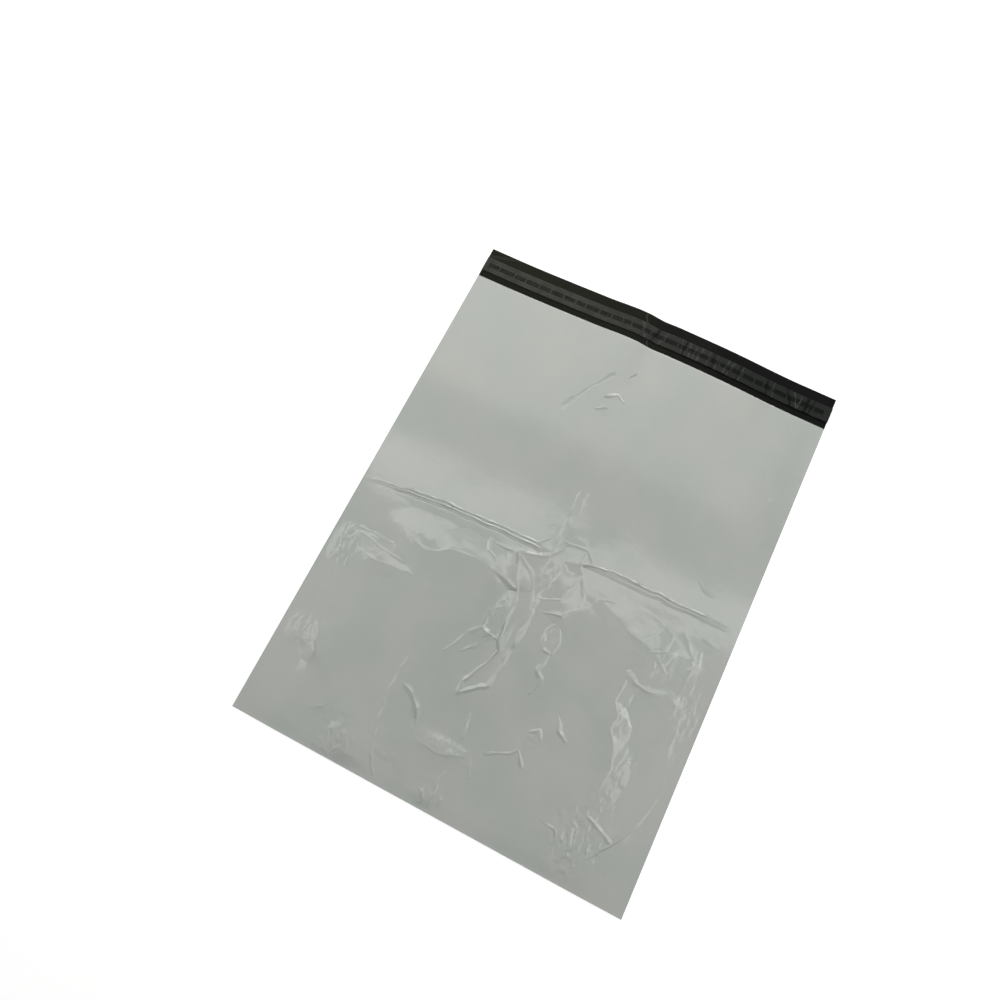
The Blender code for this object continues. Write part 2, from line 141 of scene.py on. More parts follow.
STAR = (
    Fold(((0.440, 0.492, 2.2), (0.475, 0.504, 1.9), (0.510, 0.514, 1.9), (0.532, 0.533, 1.6)), 0.25, 1.3),
    Fold(((0.440, 0.492, 2.2), (0.470, 0.437, 2.4), (0.490, 0.407, 1.2)), 0.3, 1.1),
    Fold(((0.448, 0.490, 2), (0.475, 0.478, 1.4), (0.495, 0.465, 1.4), (0.512, 0.437, 1.6),
          (0.530, 0.404, 2.2)), 0.24, 1),
    Fold(((0.510, 0.514, 1.9), (0.517, 0.482, 1.3), (0.512, 0.437, 1.6)), 0.12, 1),
    Fold(((0.532, 0.541, 1.6), (0.547, 0.516, 2.1), (0.555, 0.488, 2.4), (0.532, 0.441, 1.8),
          (0.530, 0.404, 2.2)), 0.24, 1),
    Fold(((0.532, 0.431, 1.9), (0.583, 0.447, 2), (0.608, 0.506, 0.9)), 0.2, 1),
    Fold(((0.608, 0.506, 0.9), (0.630, 0.472, 1.4), (0.632, 0.447, 2.4), (0.600, 0.421, 2.8),
          (0.555, 0.411, 2.2)), 0.24, 1.1),
)
TONGUE = (
    Fold(((0.490, 0.407, 1.2), (0.485, 0.370, 2.0), (0.490, 0.327, 3.0), (0.500, 0.311, 2.2),
          (0.490, 0.280, 1.8), (0.458, 0.232, 1.8), (0.455, 0.211, 2)), 0.28, 1.1),
    Fold(((0.530, 0.404, 2.2), (0.535, 0.382, 2.1), (0.530, 0.339, 2), (0.520, 0.276, 1.9),
          (0.515, 0.246, 1.9), (0.458, 0.209, 2)), 0.28, 1.1),
    Fold(((0.510, 0.384, 1.1), (0.512, 0.315, 1), (0.490, 0.246, 1.1)), 0, 0),
    Fold(((0.480, 0.425, 0.6), (0.452, 0.421, 0.6)), 0, 0),
    Fold(((0.452, 0.421, 0.6), (0.444, 0.380, 1.9), (0.438, 0.336, 3.2)), 0.12, 0.9),
    Fold(((0.438, 0.336, 3.2), (0.462, 0.330, 3.3), (0.490, 0.327, 3.0)), 0.08, 1),
    Fold(((0.450, 0.341, 1.2), (0.417, 0.315, 1.5), (0.388, 0.270, 1.1)), 0.24, 1.3),
    Fold(((0.480, 0.329, 1.6), (0.445, 0.299, 1.5), (0.420, 0.278, 1.1)), 0.24, 1.2),
    Fold(((0.580, 0.380, 1.3), (0.593, 0.400, 1), (0.610, 0.394, 1.1), (0.623, 0.374, 1.6),
          (0.615, 0.348, 2), (0.595, 0.348, 1.9), (0.580, 0.380, 1.3)), 0.24, 1.2),
    Fold(((0.610, 0.346, 1.9), (0.608, 0.325, 1.6), (0.603, 0.311, 1.7), (0.620, 0.301, 1.5),
          (0.610, 0.270, 1)), 0.26, 1.3),
)
LEFT_PANEL = (
    Fold(((0.055, 0.472, 1.1), (0.150, 0.482, 0.7), (0.200, 0.488, 0.6), (0.275, 0.490, 0.6),
          (0.338, 0.492, 0.6), (0.412, 0.486, 0.8)), 0, 0),
    Fold(((0.145, 0.439, 1.7), (0.188, 0.425, 2), (0.228, 0.417, 2.1), (0.263, 0.427, 2.4),
          (0.295, 0.441, 2.5), (0.350, 0.447, 2.5), (0.405, 0.443, 2.5), (0.445, 0.435, 2.5),
          (0.470, 0.429, 2.4)), 0.1, 1.6),
    Fold(((0.145, 0.439, 1.7), (0.155, 0.463, 1.2), (0.150, 0.482, 0.7)), 0, 0),
    Fold(((0.365, 0.490, 0.7), (0.370, 0.472, 1.6), (0.395, 0.465, 1.8)), 0.18, 1.2),
    Fold(((0.100, 0.394, 1.2), (0.237, 0.364, 1.8), (0.375, 0.374, 2)), 0, 0),
    Fold(((0.050, 0.295, 0.9), (0.200, 0.295, 1), (0.350, 0.305, 1.2)), 0, 0),
    Fold(((0.058, 0.402, 0.7), (0.150, 0.401, 0.7), (0.195, 0.378, 1)), 0.14, 1.2),
    Fold(((0.072, 0.392, 1.2), (0.100, 0.388, 1.3), (0.140, 0.384, 1.4), (0.185, 0.380, 1.2)), 0.12, 1.1),
    Fold(((0.060, 0.378, 1.8), (0.085, 0.362, 2.3), (0.120, 0.357, 2.4), (0.155, 0.358, 2.3),
          (0.195, 0.378, 1)), 0.04, 1.2),
    Fold(((0.070, 0.335, 1.2), (0.120, 0.330, 1.1), (0.185, 0.335, 1.1)), 0, 0),
    Fold(((0.010, 0.394, 0.9), (0.033, 0.360, 1.4), (0.045, 0.333, 1)), 0.22, 1.1),
    Fold(((0.007, 0.368, 0.9), (0.030, 0.339, 1.3)), 0.22, 1),
    Fold(((0.050, 0.378, 1), (0.065, 0.354, 1.5), (0.070, 0.325, 1)), 0.25, 1.1),
    Fold(((0.025, 0.187, 0.9), (0.045, 0.177, 1.4), (0.065, 0.165, 1)), 0.2, 1),
    Fold(((0.078, 0.203, 0.9), (0.098, 0.181, 1.8), (0.115, 0.154, 2.6), (0.112, 0.130, 1.4)), 0.14, 1),
    Fold(((0.050, 0.200, 0.8), (0.062, 0.160, 0.7), (0.085, 0.132, 0.7)), 0, 0),
)
LOWER_PANEL = (
    Fold(((0.315, 0.224, 0.9), (0.310, 0.187, 1), (0.318, 0.118, 1.1), (0.333, 0.069, 1.1),
          (0.345, 0.043, 1.1), (0.375, 0.002, 0.7)), 0.2, 1),
    Fold(((0.340, 0.177, 1.1), (0.365, 0.171, 1.5), (0.390, 0.150, 1.7), (0.405, 0.126, 1.6)), 0.26, 1.6),
    Fold(((0.402, 0.130, 0.9), (0.440, 0.133, 0.6), (0.500, 0.137, 0.6), (0.542, 0.128, 0.9)), 0.05, 1.2),
    Fold(((0.402, 0.112, 2.2), (0.425, 0.101, 3.1), (0.475, 0.098, 3.3), (0.510, 0.106, 3.1),
          (0.542, 0.114, 1.9)), 0.06, 1.4),
    Fold(((0.370, 0.060, 0.9), (0.430, 0.020, 0.9), (0.500, 0.012, 0.8)), 0, 0),
    Fold(((0.292, 0.012, 2.2), (0.272, 0.052, 3.0), (0.246, 0.084, 2.0)), 0.06, 1.2),
    Fold(((0.244, 0.010, 0.7), (0.224, 0.045, 0.6), (0.208, 0.078, 0.7)), 0, 0),
    Fold(((0.188, 0.075, 1.4), (0.170, 0.066, 1.0)), 0.1, 1.2),
    Fold(((0.580, 0.138, 1), (0.625, 0.154, 1.3), (0.645, 0.169, 1.6), (0.665, 0.146, 1)), 0.24, 1.1),
    Fold(((0.645, 0.205, 0.9), (0.665, 0.217, 1.3), (0.675, 0.203, 0.9)), 0.18, 1.2),
    Fold(((0.695, 0.250, 0.9), (0.708, 0.232, 1.3), (0.735, 0.220, 1)), 0.26, 1.3),
    Fold(((0.550, 0.118, 1), (0.557, 0.102, 1.3), (0.565, 0.089, 0.9)), 0.18, 1),
    Fold(((0.487, 0.030, 0.9), (0.495, 0.016, 1.2), (0.480, 0.006, 0.8)), 0.18, 1.1),
)
RIGHT_PANEL = (
    Fold(((0.660, 0.465, 1.4), (0.667, 0.480, 1.6), (0.700, 0.490, 1)), 0.14, 1.4),
    Fold(((0.720, 0.508, 0.8), (0.790, 0.503, 0.7), (0.860, 0.508, 0.7)), 0, 0),
    Fold(((0.725, 0.468, 1.6), (0.750, 0.452, 2.3), (0.795, 0.446, 2.4)), 0.10, 1.2),
    Fold(((0.800, 0.446, 2.3), (0.818, 0.464, 1.7), (0.828, 0.482, 1.2)), 0.20, 1.0),
    Fold(((0.838, 0.490, 0.7), (0.863, 0.480, 0.9), (0.858, 0.449, 2.4), (0.835, 0.437, 2.3)), 0.16, 1.1),
    Fold(((0.795, 0.423, 1.2), (0.835, 0.437, 1.9), (0.875, 0.413, 1.3)), 0.15, 1.3),
    Fold(((0.802, 0.380, 1.2), (0.825, 0.370, 1.6), (0.865, 0.368, 1.6), (0.900, 0.378, 1.4),
          (0.930, 0.368, 1.7), (0.950, 0.356, 1.2)), 0.26, 2),
    Fold(((0.800, 0.366, 1.2), (0.794, 0.330, 2.0), (0.818, 0.302, 2.6), (0.812, 0.276, 2.6),
          (0.838, 0.246, 3.0),
          (0.852, 0.214, 2.8), (0.846, 0.172, 2.7), (0.835, 0.138, 1.4)), 0.08, 1),
    Fold(((0.836, 0.356, 0.9), (0.830, 0.322, 0.8), (0.856, 0.296, 0.9), (0.862, 0.270, 0.8),
          (0.890, 0.240, 0.9),
          (0.898, 0.205, 0.8), (0.888, 0.168, 0.8), (0.872, 0.138, 0.9)), 0, 0),
    Fold(((0.925, 0.478, 1.0), (0.930, 0.440, 2.2), (0.925, 0.400, 1.0)), 0.06, 1),
    Fold(((0.978, 0.478, 0.7), (0.982, 0.440, 0.6), (0.975, 0.400, 0.7)), 0, 0),
    Fold(((0.988, 0.366, 0.9), (0.973, 0.295, 1.3), (0.965, 0.256, 1.6), (0.973, 0.220, 1.6),
          (0.965, 0.181, 1.8), (0.938, 0.124, 1.8), (0.892, 0.075, 1.2)), 0.2, 0.8),
    Fold(((0.955, 0.325, 1.4), (0.953, 0.295, 1.9), (0.965, 0.256, 1.4)), 0.14, 1.3),
    Fold(((0.845, 0.125, 1.1), (0.880, 0.114, 1.9), (0.915, 0.102, 1.2)), 0.2, 1.2),
    Fold(((0.757, 0.083, 0.9), (0.795, 0.075, 1.3), (0.805, 0.043, 1)), 0.18, 1.1),
    Fold(((0.825, 0.102, 1), (0.835, 0.067, 1.3), (0.825, 0.035, 0.9)), 0.18, 1.1),
    Fold(((0.863, 0.094, 1), (0.880, 0.059, 1.2), (0.895, 0.075, 1.1)), 0.18, 1.1),
    Fold(((0.930, 0.502, 1), (0.980, 0.496, 0.9)), 0.2, 1.2),
    Fold(((0.935, 0.478, 0.9), (0.943, 0.449, 1.5), (0.920, 0.437, 1)), 0.16, 1.2),
    Fold(((0.880, 0.496, 1), (0.930, 0.457, 1.3), (0.985, 0.437, 0.9)), 0.08, 1.4),
)
UPPER_PANEL = (
    Fold(((0.453, 0.907, 0.9), (0.415, 0.868, 0.7), (0.375, 0.807, 0.9)), -0.24, 1.4),
    Fold(((0.466, 0.862, 0.9), (0.487, 0.872, 1.2), (0.506, 0.864, 0.9)), 0.30, 1.1),
    Fold(((0.452, 0.828, 0.9), (0.470, 0.836, 1.1)), 0.30, 1.1),
    Fold(((0.497, 0.921, 0.9), (0.507, 0.933, 1)), 0.36, 1),
    Fold(((0.930, 0.815, 0.9), (0.950, 0.814, 0.9)), 0.32, 0.9),
    Fold(((0.532, 0.650, 1), (0.537, 0.626, 1)), 0.16, 1.2),
    Fold(((0.850, 0.614, 1), (0.880, 0.591, 1.1), (0.905, 0.583, 1)), 0.12, 1.4),
)
FOLDS = (
    MID_FOLD + CENTRE_FOLD + STAR + TONGUE + LEFT_PANEL + LOWER_PANEL + RIGHT_PANEL + UPPER_PANEL
)
CRINKLE_PATCHES = (
    CrinklePatch((0.84, 0.08), (0.07, 0.07), 1.0),
    CrinklePatch((0.88, 0.20), (0.03, 0.08), 0.6),
    CrinklePatch((0.95, 0.36), (0.04, 0.06), 0.5),
    CrinklePatch((0.84, 0.42), (0.05, 0.04), 0.6),
    CrinklePatch((0.04, 0.36), (0.03, 0.04), 0.9),
    CrinklePatch((0.06, 0.18), (0.04, 0.03), 0.7),
    CrinklePatch((0.25, 0.03), (0.06, 0.04), 0.8),
    CrinklePatch((0.37, 0.055), (0.03, 0.01), 0.6),
    CrinklePatch((0.20, 0.44), (0.05, 0.02), 0.3),
    CrinklePatch((0.465, 0.38), (0.016, 0.030), 1.2),
    CrinklePatch((0.60, 0.37), (0.02, 0.03), 0.7),
    CrinklePatch((0.53, 0.48), (0.03, 0.03), 0.7),
    CrinklePatch((0.83, 0.29), (0.03, 0.05), 0.5),
    CrinklePatch((0.48, 0.115), (0.06, 0.015), 0.9),
    CrinklePatch((0.50, 0.03), (0.03, 0.03), 0.7),
    CrinklePatch((0.66, 0.20), (0.02, 0.02), 0.7),
    CrinklePatch((0.76, 0.16), (0.03, 0.06), 0.3),
)
# The arch under the mailer: one broad hump from near the bottom to the flap, and three at the mouth
HUMPS = (
    Hump(0.50, 0.42, 0.80, (0.10, 0.47)),
    Hump(0.445, 0.10, 0.27, (0.80, 1.00)),
    Hump(0.51, 0.045, -0.20, (0.80, 1.00)),
    Hump(0.72, 0.18, 0.22, (0.80, 1.00)),
)


def lattice_noise(x: np.ndarray, y: np.ndarray, cell: float, seed: int) -> np.ndarray:
    """Smooth noise from a seeded grid of chance values.

    Args:
        x: Places across, in metres.
        y: Places along, in metres.
        cell: Size of a grid cell, in metres.
        seed: Fixes the chance values.

    Returns:
        Values from -1 to 1, in the shape of x.
    """
    u = (x + NOISE_REACH) / cell
    v = (y + NOISE_REACH) / cell
    count = int(math.ceil(2 * NOISE_REACH / cell)) + 2
    grid = np.random.default_rng(seed).uniform(-1.0, 1.0, (count, count))
    column, row = np.floor(u).astype(int), np.floor(v).astype(int)
    across, up = smooth(u - column), smooth(v - row)
    low = grid[row, column] * (1 - across) + grid[row, column + 1] * across
    high = grid[row + 1, column] * (1 - across) + grid[row + 1, column + 1] * across
    return low * (1 - up) + high * up


def nearest_on_path(x: np.ndarray, y: np.ndarray, path: np.ndarray) -> tuple:
    """Find how far each place is from a path, and the path's level there.

    Args:
        x: Places across, in metres.
        y: Places along, in metres.
        path: Rows of (x, y, level).

    Returns:
        Distances in metres, and levels at the nearest points.
    """
    best = np.full(x.shape, np.inf)
    level = np.zeros(x.shape)
    for (x0, y0, z0), (x1, y1, z1) in zip(path, path[1:]):
        run_x, run_y = x1 - x0, y1 - y0
        share = ((x - x0) * run_x + (y - y0) * run_y) / (run_x ** 2 + run_y ** 2)
        share = np.clip(share, 0.0, 1.0)
        distance = np.hypot(x - x0 - share * run_x, y - y0 - share * run_y)
        level = np.where(distance < best, z0 + share * (z1 - z0), level)
        best = np.minimum(best, distance)
    return best, level


def triangulate(places: np.ndarray, lines: list) -> tuple:
    """Triangulate places in plan, with an edge along each line.

    Args:
        places: Rows of (x, y).
        lines: Pairs of indices of places.

    Returns:
        Rows of (x, y) with the places where lines cross among them, and rows of three indices.
    """
    points = [Vector(place) for place in places.tolist()]
    corners, _, faces, *_ = delaunay_2d_cdt(points, lines, [], 0, MERGE_DISTANCE, False)
    return np.array([tuple(corner) for corner in corners]), np.array(faces)


@dataclass(frozen=True)
class Lie:
    """How the mailer lies: the places of its edges, and the heights of its skins."""

    half_width: float
    bottom_y: float
    flap_end_y: float
    flap_length: float = 0.036
    film: float = 0.0001
    weld_width: float = 0.002
    fold_gap: float = 0.0004
    least_gap: float = 0.0005
    most_gap: float = 0.0035
    edge_run: float = 0.050
    fold_run: float = 0.014
    arch_height: float = 0.0080
    lip_curl: float = 0.0006
    lip_reach: float = 0.0016
    lip_rows: tuple = (0.0030, 0.0016, 0.0010, 0.0005, 0.0)

    @property
    def mouth_y(self) -> float:
        """Where the front panel is cut."""
        return self.flap_end_y - self.flap_length

    @property
    def fold_y(self) -> float:
        """Where the bottom fold's half-round starts."""
        return self.bottom_y + self.film + self.fold_gap / 2

    @property
    def weld_x(self) -> float:
        """Inner edge of the right side weld."""
        return self.half_width - self.weld_width

    def across(self, x: np.ndarray) -> np.ndarray:
        """Share across the panel from its left edge."""
        return (x + self.half_width) / (2 * self.half_width)

    def up(self, y: np.ndarray) -> np.ndarray:
        """Share up the panel from its bottom fold."""
        return (y - self.fold_y) / (self.mouth_y - self.fold_y)

    def spot(self, across: float, up: float) -> tuple:
        """Plan place of a panel share."""
        x = (2 * across - 1) * self.half_width
        return x, self.fold_y + up * (self.mouth_y - self.fold_y)

    def arch(self, x: np.ndarray, y: np.ndarray) -> np.ndarray:
        """Height of the back panel's underside: the soft arch at the mouth and flap.

        Args:
            x: Places across, in metres.
            y: Places along, in metres.

        Returns:
            Heights in metres.
        """
        share = np.zeros(np.shape(x))
        for hump in HUMPS:
            low, high = hump.fade
            bulge = smooth(1.0 - np.abs(self.across(x) - hump.middle) / hump.half_width)
            share = share + hump.share * bulge * smooth((self.up(y) - low) / (high - low))
        return self.arch_height * share

    def back_inner(self, x: np.ndarray, y: np.ndarray) -> np.ndarray:
        """Height of the back panel's black face, flap included."""
        return self.arch(x, y) + self.film


@dataclass
class Relief:
    """The front panel's shape over the back panel: facets, sharp folds and soft waves."""

    lie: Lie
    wander: float = 0.0011
    wander_cell: float = 0.012
    fine_wander_share: float = 0.45
    fine_wander_cell: float = 0.005
    wander_rounds: int = 8
    breadth_mean: float = 1.8
    breadth_swing: float = 1.1
    breadth_cell: float = 0.011
    strength_mean: float = 1.15
    strength_swing: float = 0.45
    strength_cell: float = 0.007
    ground_pitch: float = 0.032
    ground_clear: float = 0.009
    ground_level: float = 0.00095
    ground_swing: float = 0.00030
    ground_scatter: float = 0.3
    calm_from_up: float = 0.5
    raster: float = 0.002
    blur_reach: int = 8
    blur_sigma: float = 2.4
    sharp_clear: float = 0.002
    sharp_run: float = 0.011
    wave_height: float = 0.00022
    wave_cells: tuple = (0.045, 0.020)
    wave_shares: tuple = (0.6, 0.4)
    seed: int = 31

    def __post_init__(self) -> None:
        """Place the folds and lay the facets between them."""
        self.paths = [
            (np.array([(*self.lie.spot(across, up), level / 1000) for across, up, level in fold.path]), fold)
            for fold in FOLDS
        ]
        self.lay_facets()
        self.soften_facets()

    def unwander(self, x: np.ndarray, y: np.ndarray) -> tuple:
        """Where a place of the wandering film lies on the ruled folds.

        Args:
            x: Places across, in metres.
            y: Places along, in metres.

        Returns:
            The places there, across and along.
        """
        cell, fine_cell, fine = self.wander_cell, self.fine_wander_cell, self.fine_wander_share * self.wander
        moved_x = x + self.wander * lattice_noise(x, y, cell, 11) + fine * lattice_noise(x, y, fine_cell, 13)
        moved_y = y + self.wander * lattice_noise(x, y, cell, 12) + fine * lattice_noise(x, y, fine_cell, 14)
        return moved_x, moved_y

    def wandered(self, x: np.ndarray, y: np.ndarray) -> tuple:
        """Where a place of the ruled folds lies on the wandering film.

        Args:
            x: Places across, in metres.
            y: Places along, in metres.

        Returns:
            The places there, across and along.
        """
        moved_x, moved_y = x, y
        for _ in range(self.wander_rounds):
            back_x, back_y = self.unwander(moved_x, moved_y)
            moved_x, moved_y = moved_x + x - back_x, moved_y + y - back_y
        return moved_x, moved_y

    def lay_facets(self) -> None:
        """Triangulate the folds' places and a scatter of soft ground between them."""
        lie = self.lie
        places, levels, lines = [], [], []
        for path, _ in self.paths:
            lines += [(len(places) + i, len(places) + i + 1) for i in range(len(path) - 1)]
            places += path[:, :2].tolist()
            levels += path[:, 2].tolist()
        chance = np.random.default_rng(self.seed)
        ground_x, ground_y = np.meshgrid(
            np.arange(-lie.half_width, lie.half_width + self.ground_pitch, self.ground_pitch),
            np.arange(lie.fold_y - self.ground_pitch, lie.mouth_y + self.ground_pitch, self.ground_pitch),
        )
        scatter = self.ground_scatter
        x = (ground_x + self.ground_pitch * chance.uniform(-scatter, scatter, ground_x.shape)).ravel()
        y = (ground_y + self.ground_pitch * chance.uniform(-scatter, scatter, ground_y.shape)).ravel()
        calm = 0.2 + 0.8 * smooth((self.calm_from_up - lie.up(y)) / 0.1)
        swing = self.ground_swing * chance.uniform(-1.0, 1.0, x.shape) * calm
        clear = self.fold_distance(x, y) > self.ground_clear
        places += np.stack([x, y], axis=1)[clear].tolist()
        levels += (self.ground_level + swing)[clear].tolist()
        corners, self.facets = triangulate(np.array(places), lines)
        known = {(round(px, 7), round(py, 7)): level for (px, py), level in zip(places, levels)}
        self.corner_x, self.corner_y = corners.T
        crossing_levels = self.level_on_folds(self.corner_x, self.corner_y)
        self.corner_level = np.array([
            known.get((round(px, 7), round(py, 7)), crossing)
            for (px, py), crossing in zip(corners.tolist(), crossing_levels)
        ])

    def fold_distance(self, x: np.ndarray, y: np.ndarray) -> np.ndarray:
        """Distance to the nearest fold."""
        return np.minimum.reduce([nearest_on_path(x, y, path)[0] for path, _ in self.paths])

    def level_on_folds(self, x: np.ndarray, y: np.ndarray) -> np.ndarray:
        """Level of the nearest fold.

        Args:
            x: Places across, in metres.
            y: Places along, in metres.

        Returns:
            Levels over the back panel, in metres.
        """
        best, level = np.full(x.shape, np.inf), np.zeros(x.shape)
        for path, _ in self.paths:
            distance, here = nearest_on_path(x, y, path)
            level = np.where(distance < best, here, level)
            best = np.minimum(best, distance)
        return level

    def sharp_level(self, x: np.ndarray, y: np.ndarray) -> np.ndarray:
        """Level of the facets, each one flat.

        Args:
            x: Places across, in metres.
            y: Places along, in metres.

        Returns:
            Levels over the back panel, in metres.
        """
        level = np.full(x.shape, self.ground_level)
        for facet in self.facets:
            (x0, x1, x2), (y0, y1, y2) = self.corner_x[facet], self.corner_y[facet]
            near = np.flatnonzero(
                (x >= min(x0, x1, x2)) & (x <= max(x0, x1, x2))
                & (y >= min(y0, y1, y2)) & (y <= max(y0, y1, y2))
            )
            area = (x1 - x0) * (y2 - y0) - (x2 - x0) * (y1 - y0)
            if near.size == 0 or abs(area) < 1e-12:
                continue
            near_x, near_y = x[near] - x0, y[near] - y0
            second = (near_x * (y2 - y0) - (x2 - x0) * near_y) / area
            third = ((x1 - x0) * near_y - near_x * (y1 - y0)) / area
            inside = (second >= -1e-6) & (third >= -1e-6) & (second + third <= 1 + 1e-6)
            z0, z1, z2 = self.corner_level[facet]
            level[near[inside]] = (z0 + second * (z1 - z0) + third * (z2 - z0))[inside]
        return level

    def soften_facets(self) -> None:
        """Blur the facets on a raster, for the ground away from the folds."""
        lie = self.lie
        self.raster_x = np.arange(-lie.half_width, lie.half_width + self.raster, self.raster)
        self.raster_y = np.arange(lie.fold_y, lie.mouth_y + self.raster, self.raster)
        grid_x, grid_y = np.meshgrid(self.raster_x, self.raster_y)
        level = self.sharp_level(grid_x.ravel(), grid_y.ravel()).reshape(grid_x.shape)
        steps = np.arange(-self.blur_reach, self.blur_reach + 1)
        weights = np.exp(-0.5 * (steps / self.blur_sigma) ** 2)
        weights /= weights.sum()
        for axis in (0, 1):
            widths = [(self.blur_reach, self.blur_reach) if axis == i else (0, 0) for i in (0, 1)]
            padded = np.pad(level, widths, mode="edge")
            count = level.shape[axis]
            level = sum(
                weight * np.take(padded, np.arange(first, first + count), axis=axis)
                for first, weight in enumerate(weights)
            )
        self.soft = level

    def soft_level(self, x: np.ndarray, y: np.ndarray) -> np.ndarray:
        """Blurred level, read from the raster.

        Args:
            x: Places across, in metres.
            y: Places along, in metres.

        Returns:
            Levels over the back panel, in metres.
        """
        u = np.clip((x - self.raster_x[0]) / self.raster, 0, len(self.raster_x) - 1.001)
        v = np.clip((y - self.raster_y[0]) / self.raster, 0, len(self.raster_y) - 1.001)
        column, row = u.astype(int), v.astype(int)
        across, up = u - column, v - row
        low = self.soft[row, column] * (1 - across) + self.soft[row, column + 1] * across
        high = self.soft[row + 1, column] * (1 - across) + self.soft[row + 1, column + 1] * across
        return low * (1 - up) + high * up

    def breadth(self, x: np.ndarray, y: np.ndarray) -> np.ndarray:
        """How broad a ridge is at a place, as a multiple of its half width."""
        return self.breadth_mean + self.breadth_swing * lattice_noise(x, y, self.breadth_cell, 51)

    def ridges(self, x: np.ndarray, y: np.ndarray, ruled_x: np.ndarray, ruled_y: np.ndarray) -> np.ndarray:
        """Rise of the sharp ridges and valleys, broader and stronger in some parts of their way.

        Args:
            x: Places across, in metres.
            y: Places along, in metres.
            ruled_x: The same places on the ruled folds, across.
            ruled_y: The same, along.

        Returns:
            Rises in metres, below zero in a valley.
        """
        strength = self.strength_mean + self.strength_swing * lattice_noise(x, y, self.strength_cell, 41)
        breadth = self.breadth(ruled_x, ruled_y)
        ridge, valley = np.zeros(x.shape), np.zeros(x.shape)
        for path, fold in self.paths:
            if fold.ridge:
                distance, _ = nearest_on_path(ruled_x, ruled_y, path)
                rise = fold.ridge / 1000 * np.clip(breadth - distance * 1000 / fold.half_width, 0.0, None)
                ridge, valley = np.maximum(ridge, rise), np.minimum(valley, rise)
        return strength * ridge + valley

    def crinkle_share(self, x: np.ndarray, y: np.ndarray) -> np.ndarray:
        """Where the fine crinkles show, from 0 to 1.

        Args:
            x: Places across, in metres.
            y: Places along, in metres.

        Returns:
            Their strength at each place.
        """
        across, up = self.lie.across(x), self.lie.up(y)
        share = 0.03 + 0.05 * smooth((0.55 - up) / 0.1)
        for patch in CRINKLE_PATCHES:
            offset = np.hypot(
                (across - patch.centre[0]) / patch.half_size[0], (up - patch.centre[1]) / patch.half_size[1]
            )
            share = np.maximum(share, patch.strength * smooth(1.4 - offset))
        return share

    def gap(self, x: np.ndarray, y: np.ndarray) -> np.ndarray:
        """Space between the panels: none at the side welds, least at the bottom fold.

        Args:
            x: Places across, in metres.
            y: Places along, in metres.

        Returns:
            Heights in metres.
        """
        lie = self.lie
        ruled_x, ruled_y = self.unwander(x, y)
        keep_soft = smooth((self.fold_distance(ruled_x, ruled_y) - self.sharp_clear) / self.sharp_run)
        sharp, soft = self.sharp_level(ruled_x, ruled_y), self.soft_level(ruled_x, ruled_y)
        level = sharp + (soft - sharp) * keep_soft
        (broad, fine), (broad_share, fine_share) = self.wave_cells, self.wave_shares
        wave = broad_share * lattice_noise(x, y, broad, 22) + fine_share * lattice_noise(x, y, fine, 23)
        wave *= self.wave_height * (0.15 + 0.85 * smooth((0.52 - lie.up(y)) / 0.1))
        space = np.clip(level + wave + self.ridges(x, y, ruled_x, ruled_y), lie.least_gap, lie.most_gap)
        side = smooth((lie.weld_x - np.abs(x)) / lie.edge_run)
        return side * (lie.fold_gap + (space - lie.fold_gap) * smooth((y - lie.fold_y) / lie.fold_run))

    def front_outer(self, x: np.ndarray, y: np.ndarray) -> np.ndarray:
        """Height of the front panel's grey face, which turns down a little at its cut edge.

        Args:
            x: Places across, in metres.
            y: Places along, in metres.

        Returns:
            Heights in metres.
        """
        lie = self.lie
        gap = self.gap(x, y)
        curl = lie.lip_curl * smooth(1.0 - (lie.mouth_y - y) / lie.lip_reach)
        return lie.arch(x, y) + 2 * lie.film + np.maximum(gap - curl, 0.3 * gap)


